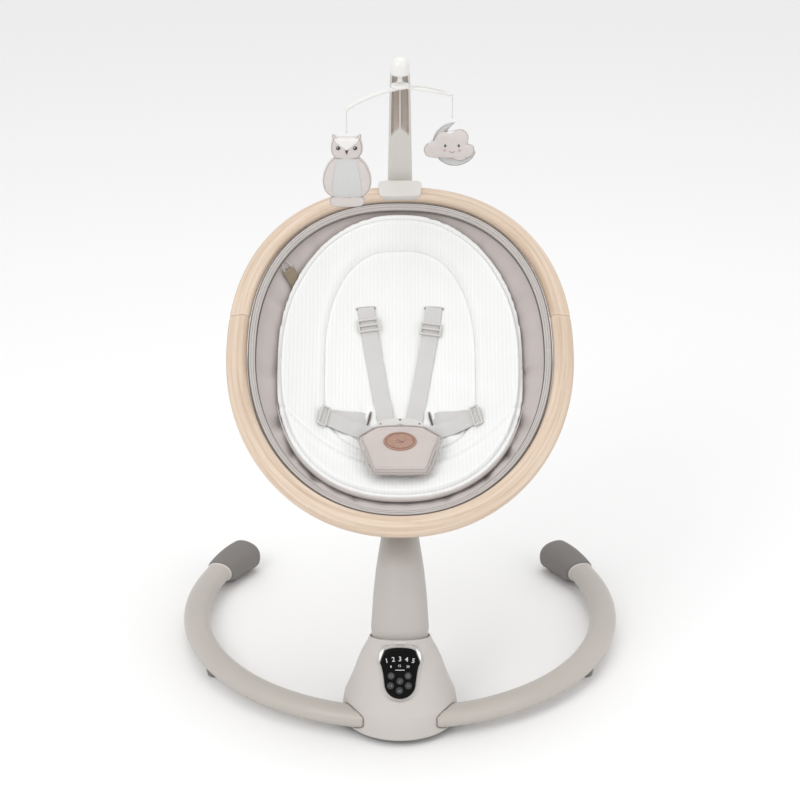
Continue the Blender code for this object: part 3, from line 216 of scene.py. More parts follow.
def skinned(name, rings, look, caps=True, around=True, angle=40):
    """A surface through rows of points. UVs run along the rows and round them, in metres."""
    bm = bmesh.new()
    uv = bm.loops.layers.uv.new("length")
    grid = [[bm.verts.new(point) for point in ring] for ring in rings]
    along = [0.0]
    for first, second in zip(rings, rings[1:]):
        along.append(along[-1] + sum((Vector(a) - Vector(b)).length for a,
                b in zip(first, second)) / len(first))
    width = [0.0]
    middle = rings[len(rings) // 2]
    for a, b in zip(middle, middle[1:] + middle[:1]):
        width.append(width[-1] + (Vector(a) - Vector(b)).length)
    count = len(rings[0])
    for i in range(len(rings) - 1):
        for j in range(count if around else count - 1):
            k = (j + 1) % count
            face = bm.faces.new((grid[i][j], grid[i][k], grid[i + 1][k], grid[i + 1][j]))
            for loop, (a, b) in zip(face.loops, ((i, j), (i, j + 1), (i + 1, j + 1), (i + 1, j))):
                loop[uv].uv = (width[b], along[a])
    if caps:
        for ring in (grid[0], grid[-1]):
            face = bm.faces.new(ring)
            for loop in face.loops:
                loop[uv].uv = (loop.vert.co.x, loop.vert.co.z)
    bmesh.ops.recalc_face_normals(bm, faces=bm.faces)
    mesh = bpy.data.meshes.new(name)
    bm.to_mesh(mesh)
    bm.free()
    made = bpy.data.objects.new(name, mesh)
    bpy.context.scene.collection.objects.link(made)
    mesh.materials.append(look)
    mesh.shade_smooth()
    mesh.set_sharp_from_angle(angle=math.radians(angle))
    return made


def swept(name, points, sections, look, up=None, caps=True):
    """A section carried along points. Each section point is (across, over) from the line."""
    points = [Vector(p) for p in points]
    rings = []
    side = None
    for i, point in enumerate(points):
        run = (points[min(i + 1, len(points) - 1)] - points[max(i - 1, 0)]).normalized()
        over = up if up else (side.cross(run) if side else run.orthogonal())
        side = run.cross(over).normalized()
        over = side.cross(run).normalized()
        section = sections[i] if isinstance(sections[0][0], (list, tuple)) else sections
        rings.append([tuple(point + side * a + over * b) for a, b in section])
    return skinned(name, rings, look, caps)


def oval(half_across, half_over, sides=28, power=2.0):
    """Points round an oval; a power over 2 squares it."""
    ring = []
    for i in range(sides):
        angle = 2 * math.pi * i / sides
        c, s = math.cos(angle), math.sin(angle)
        ring.append((half_across * math.copysign(abs(c) ** (2 / power), c),
                     half_over * math.copysign(abs(s) ** (2 / power), s)))
    return ring


def arc_point(degrees, side, z=TUBE_Z, grow=0.0):
    angle = math.radians(degrees)
    return SHIFT + Vector((side * (ARC_HALF_WIDTH + grow) * math.sin(angle),
                           -(ARC_HALF_DEPTH + grow) * math.cos(angle), z))


UP = Vector((0, 0, 1))
def belongs(piece, body, slot, *nodes):
    """Tell the frame a piece's body and hide the drawing's nodes that it stands for. The slot is not used."""
    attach(piece, body)
    if nodes:
        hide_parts(*nodes)


def refinish(look, *nodes):
    """Give nodes of the drawing that stay in view a finish of this model."""
    for node in nodes:
        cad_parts[node].data.materials.clear()
        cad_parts[node].data.materials.append(look)


tube_paint = moulded("tube_paint", tone(186, 180, 173), 0.36, 900.0, 0.00002, 0.25, coat=0.15)
for side, word in ((-1, "left"), (1, "right")):
    steps = 90
    line = [arc_point(TUBE_FROM + (TUBE_TO - TUBE_FROM) * i / steps, side) for i in range(steps + 1)]
    arm = swept(f"floor_tube_{word}", line, oval(TUBE_HALF_WIDTH, TUBE_HALF_HEIGHT, 32, 2.15), tube_paint, UP)
    belongs(arm, "base", "tube_paint", f"base_arm_{word}")

# ======== rubber end caps and middle feet ========
# Dark soft-touch rubber caps push over the tubes' rear ends. They flare out and down to the floor, and a thin
# pale collar shows where each meets its tube. A low rubber pad sits under the middle of each arm.
CAP_FROM, CAP_TO = 113.3, 129.0
cap_rubber = moulded("cap_rubber", tone(124, 120, 117), 0.62, 1900.0, 0.00007, 0.3)
collar_plastic = moulded("collar_plastic", tone(206, 202, 197), 0.4)
for side, word in ((-1, "left"), (1, "right")):
    steps = 40
    line, sections = [], []
    for i in range(steps + 1):
        share = i / steps
        grow = 0.0030 + 0.0055 * math.sin(math.pi / 2 * min(1.0, share * 1.25))
        close = math.sqrt(max(0.0, 1 - max(0.0, (share - 0.86) / 0.14) ** 2))
        lip = 0.82 + 0.18 * min(1.0, share / 0.05)
        half = (TUBE_HALF_WIDTH + grow) * (0.30 + 0.70 * close) * lip
        section = []
        for across, over in oval(1.0, 1.0, 36, 2.3):
            high = (TUBE_HALF_HEIGHT + grow * 0.75) * (0.30 + 0.70 * close) * lip
            low = (TUBE_Z - 0.0008) * min(1.0, 0.62 + share * 2.0) * (0.55 + 0.45 * close)
            section.append((across * half, over * (high if over > 0 else low)))
        sections.append(section)
        line.append(arc_point(CAP_FROM + (CAP_TO - CAP_FROM) * share, side))
    cap = swept(f"end_cap_{word}", line, sections, cap_rubber, UP)
    belongs(cap, "base", "dark_rubber", f"arm_cap_{word}")
    line = [arc_point(CAP_FROM - 0.75 + 0.13 * i, side) for i in range(7)]
    sections = [oval(TUBE_HALF_WIDTH + 0.0004 + 0.0012 * math.sin(math.pi * i / 6),
                     TUBE_HALF_HEIGHT + 0.0004 + 0.0012 * math.sin(math.pi * i / 6), 32, 2.15)
                     for i in range(7)]
    collar = swept(f"cap_collar_{word}", line, sections, collar_plastic, UP)
    belongs(collar, "base", "plastic_light")
refinish(cap_rubber, "arm_foot_left", "arm_foot_right", "housing_foot_ring")

# ======== motor housing ========
# An injection-moulded bonnet in warm grey plastic. It stands on the floor like a bell, narrows to a slanted
# neck
# round the column, and its front is dished for the control panel, with a soft raised lip.
HOUSING = SHIFT + Vector((0, HOUSING_FROM_ARC, 0))
PIVOT = SHIFT + Vector((0, -0.275, 0.135))
COLUMN_LEAN = math.radians(17.0)
COLUMN_AXIS = Vector((0, math.sin(COLUMN_LEAN), math.cos(COLUMN_LEAN)))
PROFILE = [(0.0090, 0.0828), (0.0110, 0.0838), (0.0290, 0.0822), (0.0425, 0.0800), (0.0560, 0.0743),
           (0.0690, 0.0690), (0.0820, 0.0646), (0.0955, 0.0602), (0.1090, 0.0544), (0.1220, 0.0478),
           (0.1350, 0.0428), (0.1600, 0.0400)]
PANEL_LOW, PANEL_HIGH = Vector((0, -0.3520, 0.0700)) + SHIFT, Vector((0, -0.3275, 0.1380)) + SHIFT
panel_up = (PANEL_HIGH - PANEL_LOW).normalized()
PANEL_LEAN = math.atan2(panel_up.y, panel_up.z)
PANEL_MIDDLE = (PANEL_LOW + PANEL_HIGH) / 2
PANEL_HALF_WIDTH, PANEL_HALF_LENGTH = 0.0285, 0.0365
TO_PANEL = Matrix.Translation(PANEL_MIDDLE) @ Matrix.Rotation(math.pi / 2 - PANEL_LEAN, 4, "X")
FROM_PANEL = TO_PANEL.inverted()


def housing_radius(z):
    heights, radii = zip(*PROFILE)
    return float(np.interp(z, heights, radii))


def panel_half_width(y):
    """Half the shield's width at a height over its middle."""
    heights = [-1.0, -0.985, -0.95, -0.90, -0.84, -0.76, -0.66, -0.52, -0.25, 0.06, 0.30, 0.40, 0.885, 0.94,
               0.97, 0.99, 1.0]
    widths = [0.0, 0.17, 0.31, 0.43, 0.53, 0.62, 0.70, 0.765, 0.80, 0.86, 0.93, 1.0, 0.76, 0.62, 0.48, 0.30,
              0.0]
    return PANEL_HALF_WIDTH * float(np.interp(y / PANEL_HALF_LENGTH, heights, widths, 0.0, 0.0))


def ease(value):
    value = max(0.0, min(1.0, value))
    return value * value * (3 - 2 * value)


def out_of_shield(x, y, grow):
    """How far a point of the panel's face lies outside the shield grown by that much, about, in metres."""
    share = PANEL_HALF_LENGTH / (PANEL_HALF_LENGTH + grow)
    half = panel_half_width(max(-PANEL_HALF_LENGTH, min(PANEL_HALF_LENGTH, y * share)))
    beyond = max(0.0, abs(y) - PANEL_HALF_LENGTH - grow)
    return math.hypot(max(0.0, abs(x) - half - grow), beyond)


rings = []
rows, columns = 180, 360
for i in range(rows + 1):
    share = i / rows
    ring = []
    for j in range(columns):
        angle = 2 * math.pi * j / columns
        # rows follow the floor at the bottom and the slanted neck at the top
        neck = 0.1350 + math.tan(COLUMN_LEAN) * (0.0460 * math.cos(angle) - 0.007)
        z = 0.0090 + (neck + 0.0005 - 0.0090) * share
        radius = housing_radius(z)
        out = Vector((math.sin(angle), -math.cos(angle), 0))
        point = HOUSING + out * radius + Vector((0, 0, z))
        local = FROM_PANEL @ point
        if local.z > -0.03 and abs(local.x) < 0.07:
            # the dish round the panel, its lip, and the two soft creases that run down from the shoulders
            dish = 1 - ease(out_of_shield(local.x, local.y, 0.0030) / 0.0016)
            lip = math.exp(-((out_of_shield(local.x, local.y, 0.0045) - 0.0014) / 0.0012) ** 2) * (1 - dish)
            crease = 0.0365 - 0.10 * (PANEL_HALF_LENGTH - local.y) * 0.55
            ridge = math.exp(-((abs(local.x) - crease) / 0.0030) ** 2) * ease((local.y + 0.005) / 0.03)
            point += (TO_PANEL.to_3x3() @ Vector((0, 0, 1))) * (
                dish * (-0.0030 - local.z) + (1 - dish) * (lip * 0.0010 + ridge * 0.0010))
        ring.append(tuple(point))
    rings.append(ring)
# the rolled-in lip at the neck
for drop, bore in ((0.0002, 0.0426), (0.0010, 0.0416), (0.0024, 0.0413), (0.0080, 0.0412)):
    ring = []
    for j in range(columns):
        point = Vector(rings[rows][j])
        to_axis = (PIVOT - point)
        to_axis -= COLUMN_AXIS * to_axis.dot(COLUMN_AXIS)
        ring.append(tuple(point + to_axis * (1 - bore / to_axis.length) - COLUMN_AXIS * drop))
    rings.append(ring)
housing_plastic = moulded("housing_plastic", tone(198, 193, 188), 0.40, 1500.0, 0.00003, 0.2)
housing = skinned("motor_bonnet", rings, housing_plastic, caps=False, angle=75)
belongs(housing, "base", "plastic_grey_beige", "housing_shell")

# a thin darker cord follows the dish as painted shade in its groove, and a white chip in each upper corner is
# a painted highlight
seal_rubber = moulded("seal_rubber", tone(118, 113, 108), 0.7, 1900.0, 0.00003, 0.1)
seam_painted_shade = moulded("seam_painted_shade", tone(158, 152, 146), 0.6, 1900.0, 0.00002, 0.1)
chip_painted_highlight = moulded("chip_painted_highlight", tone(246, 246, 245), 0.15, 1600.0, 0.00001, 0.05, coat=0.5)


def on_bonnet(x, y, rise=0.0002):
    """The bonnet's outer surface in front of a point of the panel's face."""
    low_at, high_at = -0.030, 0.020
    for _ in range(24):
        mid = (low_at + high_at) / 2
        point = TO_PANEL @ Vector((x, y, mid))
        if math.hypot(point.x - HOUSING.x, point.y - HOUSING.y) > housing_radius(point.z):
            high_at = mid
        else:
            low_at = mid
    return TO_PANEL @ Vector((x, y, low_at + rise))


# a thin darker cord laid round the dish: painted shade for the groove at its edge
shade_line_half = [(panel_half_width(max(-1.0, min(1.0, t)) * PANEL_HALF_LENGTH) + 0.0047 *
              math.cos(math.pi / 2 * t ** 3),
              PANEL_HALF_LENGTH * t + 0.0047 * math.sin(math.pi / 2 * t ** 3))
              for t in np.sin(np.linspace(-1.5708, 1.5708, 61))]
shade_line_loop = [on_bonnet(x, y) for x, y in shade_line_half] + [on_bonnet(-x, y) for x, y in reversed(shade_line_half)]
shade_line_loop += shade_line_loop[:2]
seam = swept("dish_shade_line", shade_line_loop, oval(0.00035, 0.0003, 8), seam_painted_shade, caps=False)
belongs(seam, "base", "plastic_grey_beige")
# a white chip in each upper corner of the dish: painted highlight where the recess's sloped corners catch the
# light
for sign, word in ((-1, "left"), (1, "right")):
    corners = [(0.0222, 0.0345), (0.0262, 0.0325), (0.0290, 0.0285), (0.0298, 0.0215), (0.0286, 0.0175)]
    middle = Vector((0.0262, 0.0272))
    rows = []
    for grow, height in ((1.0, -0.0032), (1.0, -0.0004), (0.92, 0.0), (0.4, 0.0002), (0.03, 0.0002)):
        rows.append([tuple(TO_PANEL @ Vector((sign * at.x, at.y, height)))
                     for at in (middle.lerp(Vector(p), grow) for p in corners)])
    chip = skinned(f"dish_highlight_chip_{word}", rows, chip_painted_highlight)
    belongs(chip, "base", "plastic_light")

# a thin dark seal where each tube enters the bonnet's side
for side, word in ((-1, "left"), (1, "right")):
    line = []
    for across, over in oval(TUBE_HALF_WIDTH + 0.0006, TUBE_HALF_HEIGHT + 0.0006, 48, 2.15):
        degrees = 9.0
        for _ in range(60):
            here = arc_point(degrees, side)
            run = (arc_point(degrees + 0.5, side) - here).normalized()
            point = here + run.cross(UP).normalized() * across * -side + UP * over
            flat = point - HOUSING
            if math.hypot(flat.x, flat.y) > housing_radius(point.z) - 0.0002:
                break
            degrees += 0.25
        line.append(point)
    line += line[:2]
    seal = swept(f"tube_seal_{word}", line, oval(0.0007, 0.0007, 8), seal_rubber, caps=False)
    belongs(seal, "base", "dark_rubber")
plate_plastic = moulded("plate_plastic", tone(120, 116, 112), 0.5)
refinish(plate_plastic, "housing_bottom_plate")

# ======== control panel ========
# A gloss black shield with a slightly domed face, snapped into the bonnet's dish. Its marks are printed in
# pale
# grey: five swing steps in an arc, three timer settings and a short bar.
panel_gloss = moulded("panel_gloss", tone(5, 5, 5), 0.3, 700.0, 0.000004, 0.01, coat=0.0)
panel_gloss.node_tree.nodes["Principled BSDF"].inputs["Specular IOR Level"].default_value = 0.12
mark_ink = moulded("mark_ink", tone(206, 210, 206), 0.55, 2500.0, 0.00001, 0.0)
heights = PANEL_HALF_LENGTH * np.sin(np.linspace(-math.pi / 2, math.pi / 2, 81))
right = [(panel_half_width(y), y) for y in heights]
outline = [p for p in right if p[0] >= 0] + [(-x, y) for x, y in reversed(right) if x > 0.0001]
rings = []
for inset, height in ((0.0, -0.0030), (0.0, 0.0004), (0.0003, 0.0010), (0.0009, 0.00135), (0.006, 0.0019),
        (0.014, 0.0022),
                      (0.021, 0.0023), (0.0275, 0.00235)):
    grow = 1 - inset / PANEL_HALF_WIDTH
    rings.append([tuple(TO_PANEL @ Vector((x * grow, y * (1 - inset / PANEL_HALF_LENGTH), height))) for x,
                  y in outline])
panel = skinned("panel_face", rings, panel_gloss, angle=60)
belongs(panel, "base", "black_gloss", "control_panel")


def printed(name, words, size, x, y, turn, body, look, lift=0.0024):
    """Pad-printed marks on the panel's face."""
    data = bpy.data.curves.new(name, "FONT")
    data.body = words
    data.size = size
    data.align_x = "CENTER"
    data.align_y = "CENTER"
    data.extrude = 0.00008
    data.offset = size * 0.012
    made = bpy.data.objects.new(name, data)
    bpy.context.scene.collection.objects.link(made)
    data.materials.append(look)
    made.matrix_world = TO_PANEL @ Matrix.Translation((x, y, lift)) @ Matrix.Rotation(turn, 4, "Z")
    belongs(made, body, "plastic_light")
    return made


for step in range(5):
    lean = (step - 2) * math.radians(-6)
    printed(f"step_mark_{step + 1}", str(step + 1), 0.0092, (step - 2) * 0.0094, 0.0208 - 0.0006 *
            (step - 2) ** 2,
            lean, "base", mark_ink, 0.0024)
for word, x, y in (("8", -0.0128, 0.0100), ("15", -0.0008, 0.0112), ("30", 0.0112, 0.0100)):
    printed(f"timer_mark_{word}", word, 0.0046, x, y, 0.0, "base", mark_ink)
bar_line = [TO_PANEL @ Vector((-0.0065 + 0.013 * i / 6, 0.0052, 0.0024)) for i in range(7)]
bar_mark = swept("scale_bar", bar_line, oval(0.0005, 0.00012, 8), mark_ink, TO_PANEL.to_3x3() @
        Vector((0, 0, 1)))
belongs(bar_mark, "base", "plastic_light")

# ======== push buttons ========
# Six round keys of dark grey rubber-coated plastic, dished for a fingertip, each in a shallow ring and
# printed
# with its own small sign.
BUTTON_RADIUS = 0.0055
BUTTONS = {
    "power_button": (-0.0125, -0.0030), "timer_button": (0.0115, -0.0030), "melody_button": (0.0, -0.0105),
    "sound_button": (-0.0135, -0.0170), "speed_button": (0.0120, -0.0170), "volume_button": (-0.0008,
            -0.0240),
}


def turned(name, profile, look, stand, sides=48, angle=40):
    """A lathe piece: (radius, height) points up its outer side."""
    rings = [[tuple(stand @ Vector((r * math.cos(2 * math.pi * j / sides),
            r * math.sin(2 * math.pi * j / sides), h)))
              for j in range(sides)] for r, h in profile]
    return skinned(name, rings, look, angle=angle)


def circle_run(radius, start, end, steps=10, centre=(0, 0)):
    return [(centre[0] + radius * math.cos(math.radians(start + (end - start) * i / steps)),
             centre[1] + radius * math.sin(math.radians(start + (end - start) * i / steps)))
             for i in range(steps + 1)]


BUTTON_SIGNS = {
    "power_button": [circle_run(0.0020, 125, 415), [(0, 0.0007), (0, 0.0027)]],
    "timer_button": [circle_run(0.0021, 0, 360, 14), [(0, 0.0014), (0, 0), (0.0010, -0.0004)]],
    "melody_button": [circle_run(0.0008, 0, 360, 8, (-0.0008, -0.0014)), [(0, -0.0014), (0, 0.0020),
            (0.0015, 0.0012)]],
    "sound_button": [circle_run(0.0011, -60, 60, 6), circle_run(0.0021, -60, 60, 6),
            [(-0.0018, 0.0009), (-0.0018, -0.0009)]],
    "speed_button": [[(-0.0018, -0.0014), (0, 0), (-0.0018, 0.0014)], [(0.0002, -0.0014), (0.0020, 0),
            (0.0002, 0.0014)]],
    "volume_button": [[(-0.0022, -0.0010), (0.0022, -0.0010), (0.0022, 0.0014), (-0.0022, -0.0010)]],
}
sign_ink = moulded("sign_ink", tone(150, 148, 152), 0.6, 2500.0, 0.00001, 0.0)
key_rubber = moulded("key_rubber", tone(50, 50, 51), 0.5, 2200.0, 0.00002, 0.2)
panel_out = TO_PANEL.to_3x3() @ Vector((0, 0, 1))
for name, (x, y) in BUTTONS.items():
    stand = TO_PANEL @ Matrix.Translation((x, y, 0))
    r = BUTTON_RADIUS * 0.92
    key = turned(f"{name}_key", [(r, -0.002), (r, 0.0024), (r * 0.97, 0.0031), (r * 0.86, 0.0034),
            (r * 0.6, 0.0032),
                                 (r * 0.3, 0.00305), (r * 0.02, 0.0030)], key_rubber, stand)
    belongs(key, f"{name}_cap", "button_grey", name)
    groove = turned(f"{name}_groove", [(r + 0.0002, 0.0020), (r + 0.0002, 0.0026), (r + 0.0006, 0.0027),
                                       (r + 0.0009, 0.0023), (r + 0.0009, 0.0020)], panel_gloss, stand)
    belongs(groove, "base", "black_gloss")
    for number, stroke in enumerate(BUTTON_SIGNS[name]):
        line = [stand @ Vector((a, b, 0.0033)) for a, b in stroke]
        sign = swept(f"{name}_sign_{number}", line, oval(0.00022, 0.00010, 6), sign_ink, panel_out)
        belongs(sign, f"{name}_cap", "plastic_light")

# ======== drive parts inside the housing ========
# Zinc-plated steel chassis, shaft and lever, sintered bronze bushes, an enamelled copper coil, coiled return
# springs, a green circuit board and a paper-coned loudspeaker.
zinc_steel = moulded("zinc_steel", tone(176, 177, 180), 0.30, 350.0, 0.00002, 0.5, metal=1.0)
sintered_bronze = moulded("sintered_bronze", tone(176, 132, 84), 0.42, 2600.0, 0.00004, 0.4, metal=1.0)
copper_winding, tree, shader = finish_of("copper_winding")
turns_wave = shade(tree, "ShaderNodeTexWave", {"Vector": shade(tree, "ShaderNodeTexCoord").outputs["Object"],
                                               "Scale": 900.0}, bands_direction="Z")
wire = shade(tree, "ShaderNodeMix", {0: turns_wave.outputs["Fac"], 6: tone(120, 58, 34),
        7: tone(205, 120, 76)},
             data_type="RGBA")
tree.links.new(wire.outputs[2], shader.inputs["Base Color"])
shader.inputs["Roughness"].default_value = 0.3
shader.inputs["Metallic"].default_value = 1.0
bumped(tree, shader, turns_wave.outputs["Fac"], 0.0002)
board_mask = moulded("board_mask", tone(36, 96, 58), 0.35, 500.0, 0.00003, 0.2, coat=0.4)
dark_plastic = moulded("dark_plastic", tone(58, 57, 56), 0.5, 1600.0, 0.00003)
for look, names in ((zinc_steel, ("chassis", "pivot_shaft", "swing_lever", "drive_magnet",
        "return_spring_left",
                                  "return_spring_right", "recline_pin", "column_tube")),
                    (sintered_bronze, ("pivot_bush_front", "pivot_bush_rear")),
                    (copper_winding, ("drive_coil",)),
                    (board_mask, ("control_board",)), (dark_plastic, ("speaker", "power_inlet"))):
    for name in names:
        refinish(look, name)

# ======== swing column ========
# A tapered plastic tube, moulded in one piece with the ball that turns in the bonnet's neck. It leans back,
# then
# bends under the seat to the forked head that carries the recline pin.
RECLINE = SHIFT + Vector((0, -0.128, 0.2755))
column_plastic = moulded("column_plastic", tone(184, 179, 174), 0.40, 1500.0, 0.00003, 0.2)
BEND_AT, HEAD_END = PIVOT + COLUMN_AXIS * 0.085, RECLINE + Vector((0, -0.020, -0.0115))
BEND_MIDDLE = BEND_AT + COLUMN_AXIS * 0.036
line, radii = [], []
for i in range(13):
    h = -0.0215 + 0.0215 * i / 12
    line.append(PIVOT + COLUMN_AXIS * h)
    radii.append(math.sqrt(0.0405 ** 2 - h ** 2))
for i in range(1, 25):
    h = 0.085 * i / 24
    line.append(PIVOT + COLUMN_AXIS * h)
    radii.append(float(np.interp(h, [0, 0.008, 0.030, 0.055, 0.085], [0.0405, 0.0415, 0.0400, 0.0384,
            0.0352])))
for i in range(1, 31):
    t = i / 30
    line.append((1 - t) ** 2 * BEND_AT + 2 * t * (1 - t) * BEND_MIDDLE + t * t * HEAD_END)
    radii.append(0.0352 - 0.0137 * t ** 1.2)
column = swept("swing_column", line, [oval(r, r, 64) for r in radii], column_plastic, Vector((1, 0, 0)))
belongs(column, "column", "plastic_grey_beige", "column_shell")
refinish(column_plastic, "column_head")
refinish(column_plastic, "seat_keel")
refinish(dark_plastic, "recline_lever")

# ======== seat ring ========
# Two bent bands of pale beech-look laminate, satin lacquered, with softly rounded edges. They meet at a fine
# joint on each side of the seat.
SEAT_TILT = math.radians(34)
TO_SEAT = Matrix.Translation(SHIFT + Vector((0, -0.0814, 0.4842))) @ Matrix.Rotation(SEAT_TILT, 4, "X")
RING_HALF_WIDTH, RING_HEAD, RING_FOOT, RING_WIDEST_S = 0.2525, 0.3005, 0.3115, 0.010
RING_HEAD_POWER, RING_FOOT_POWER = 2.3, 2.1
RING_BAND, RING_THICK, RING_SLOPE = 0.030, 0.018, math.radians(19)


def egg(angle, inset=0.0):
    """A point of the ring's outline in the seat's own plane, by the angle from its right side."""
    c, s = math.cos(angle), math.sin(angle)
    power, reach = (RING_HEAD_POWER, RING_HEAD) if s > 0 else (RING_FOOT_POWER, RING_FOOT)
    return Vector(((RING_HALF_WIDTH - inset) * math.copysign(abs(c) ** (2 / power), c),
                   RING_WIDEST_S + (reach - inset) * math.copysign(abs(s) ** (2 / power), s), 0))


def even_angles(start, end, inset, count):
    """Angles that step evenly along the ring's outline."""
    fine = np.linspace(start, end, count * 12)
    points = [egg(a, inset) for a in fine]
    run = np.concatenate([[0], np.cumsum([(b - a).length for a, b in zip(points, points[1:])])])
    return [float(np.interp(run[-1] * i / count, run, fine)) for i in range(count + 1)]


def rim_way(angle, inset):
    return (egg(angle + 0.01, inset) - egg(angle - 0.01, inset)).normalized().cross(UP)


wood_streaks, given, put = effect(
    "wood_streaks",
    [("Pale", COLOUR, (0.8, 0.7, 0.6, 1)), ("Deep", COLOUR, (0.6, 0.5, 0.4, 1)), ("Fineness", FLOAT, 1.0)],
    [("Colour", COLOUR), ("Roughness", FLOAT), ("Height", FLOAT)])
grain_uv = shade(wood_streaks, "ShaderNodeUVMap")
stretch = shade(wood_streaks, "ShaderNodeMapping", {"Vector": grain_uv.outputs[0],
        "Scale": (210.0, 5.0, 1.0)})
sized = shade(wood_streaks, "ShaderNodeVectorMath", {0: stretch.outputs[0], "Scale": given["Fineness"]},
              operation="SCALE")
streak = shade(wood_streaks, "ShaderNodeTexNoise", {"Vector": sized.outputs[0], "Scale": 1.0, "Detail": 5.0,
                                                    "Roughness": 0.62, "Distortion": 0.35})
broad = shade(wood_streaks, "ShaderNodeMapping", {"Vector": grain_uv.outputs[0], "Scale": (46.0, 2.2, 1.0)})
figure = shade(wood_streaks, "ShaderNodeTexNoise", {"Vector": broad.outputs[0], "Scale": 1.0, "Detail": 2.0,
                                                    "Distortion": 1.2})
pores = shade(wood_streaks, "ShaderNodeMapping", {"Vector": grain_uv.outputs[0],
        "Scale": (1500.0, 60.0, 1.0)})
pore = shade(wood_streaks, "ShaderNodeTexNoise", {"Vector": pores.outputs[0], "Scale": 1.0, "Detail": 1.0})
blend = shade(wood_streaks, "ShaderNodeMath", {0: streak.outputs["Fac"], 1: figure.outputs["Fac"]},
              operation="ADD")
spread = shade(wood_streaks, "ShaderNodeMapRange", {"Value": blend.outputs[0], "From Min": 0.78,
        "From Max": 1.22})
darker = shade(wood_streaks, "ShaderNodeMapRange", {"Value": pore.outputs["Fac"], "From Min": 0.62,
        "From Max": 0.72,
                                                    "To Min": 0.0, "To Max": 0.35})
share = shade(wood_streaks, "ShaderNodeMath", {0: spread.outputs[0], 1: darker.outputs[0]}, operation="ADD",
              use_clamp=True)
colour = shade(wood_streaks, "ShaderNodeMix", {0: share.outputs[0], 6: given["Pale"], 7: given["Deep"]},
               data_type="RGBA")
wood_streaks.links.new(colour.outputs[2], put["Colour"])
satin = shade(wood_streaks, "ShaderNodeMapRange", {"Value": share.outputs[0], "To Min": 0.36, "To Max": 0.52})
wood_streaks.links.new(satin.outputs[0], put["Roughness"])
wood_streaks.links.new(share.outputs[0], put["Height"])

ring_wood, tree, shader = finish_of("ring_wood")
grain = shade(tree, "ShaderNodeGroup", node_tree=wood_streaks)
grain.inputs["Pale"].default_value = tone(218, 199, 179)
grain.inputs["Deep"].default_value = tone(190, 166, 143)
rubbed = shade(tree, "ShaderNodeGroup", node_tree=handled_edges)
rubbed.inputs["Rubbed"].default_value = tone(226, 208, 192)
rubbed.inputs["Amount"].default_value = 0.4
tree.links.new(grain.outputs["Colour"], rubbed.inputs["Colour"])
tree.links.new(rubbed.outputs["Colour"], shader.inputs["Base Color"])
tree.links.new(grain.outputs["Roughness"], shader.inputs["Roughness"])
shader.inputs["Coat Weight"].default_value = 0.18
shader.inputs["Coat Roughness"].default_value = 0.35
bumped(tree, shader, grain.outputs["Height"], 0.00012)
JOINT_AT, JOINT_GAP = math.radians(9), 0.0012
for name, start, end in (("upper", JOINT_AT + JOINT_GAP, math.pi - JOINT_AT - JOINT_GAP),
                         ("lower", math.pi - JOINT_AT + JOINT_GAP, 2 * math.pi + JOINT_AT - JOINT_GAP)):
    rings = []
    for angle in even_angles(start, end, RING_BAND / 2, 150):
        point, out = egg(angle, RING_BAND / 2), rim_way(angle, RING_BAND / 2)
        # the ends are eased so that the joint shows as a fine shadow line
        near = min(abs(angle - start), abs(angle - end))
        ease_in = 1 - 0.035 * max(0.0, 1 - near / 0.006)
        ring = []
        for wide, thick in oval(RING_BAND / 2 * ease_in, RING_THICK / 2 * ease_in, 36, 3.2):
            ring.append(tuple(TO_SEAT @ (point + out * (wide * math.cos(RING_SLOPE) + thick *
                    math.sin(RING_SLOPE))
                                         + UP * (thick * math.cos(RING_SLOPE) - wide *
                                                 math.sin(RING_SLOPE)))))
        rings.append(ring)
    band = skinned(f"wood_band_{name}", rings, ring_wood)
    belongs(band, "seat", "pale_wood", f"ring_{name}")

# ======== hung bowl ========
# A deep bowl of mauve-grey knitted mesh cloth hangs from the ring. A pale bound edge with a dark piping and
# two rows
# of stitches runs round its mouth, and the cloth pulls into soft folds towards the foot end.
BOWL_EDGE, BOWL_DEPTH, BOWL_POWER, BOWL_DROP = RING_BAND + 0.0030, 0.122, 2.6, -0.002


def bowl_height(x, y):
    y = y - RING_WIDEST_S
    power, reach = (RING_HEAD_POWER, RING_HEAD) if y > 0 else (RING_FOOT_POWER, RING_FOOT)
    out = (abs(x / (RING_HALF_WIDTH - BOWL_EDGE)) ** power + abs(y / (reach - BOWL_EDGE)) ** power) ** (1 /
            power)
    return -BOWL_DEPTH * (1 - min(1.0, out) ** BOWL_POWER) + BOWL_DROP


woven, given, put = effect(
    "woven",
    [("Vector", VECTOR, None), ("Thread", COLOUR, (0.5, 0.5, 0.5, 1)), ("Gap", COLOUR, (0.3, 0.3, 0.3, 1)),
     ("Pitch", FLOAT, 0.0012), ("Mottle", FLOAT, 0.08)],
    [("Colour", COLOUR), ("Roughness", FLOAT), ("Height", FLOAT)])
per_pitch = shade(woven, "ShaderNodeMath", {0: math.pi, 1: given["Pitch"]}, operation="DIVIDE")
laid = shade(woven, "ShaderNodeVectorMath", {0: given["Vector"], "Scale": per_pitch.outputs[0]},
             operation="SCALE")
axes = shade(woven, "ShaderNodeSeparateXYZ", {0: laid.outputs[0]})
warp = shade(woven, "ShaderNodeMath", {0: axes.outputs["X"]}, operation="SINE")
weft = shade(woven, "ShaderNodeMath", {0: axes.outputs["Y"]}, operation="SINE")
cross = shade(woven, "ShaderNodeMath", {0: warp.outputs[0], 1: weft.outputs[0]}, operation="MULTIPLY")
height = shade(woven, "ShaderNodeMath", {0: cross.outputs[0]}, operation="ABSOLUTE")
fuzz = shade(woven, "ShaderNodeTexNoise", {"Vector": laid.outputs[0], "Scale": 0.9, "Detail": 4.0})
worn = shade(woven, "ShaderNodeTexNoise", {"Vector": given["Vector"], "Scale": 26.0, "Detail": 3.0})
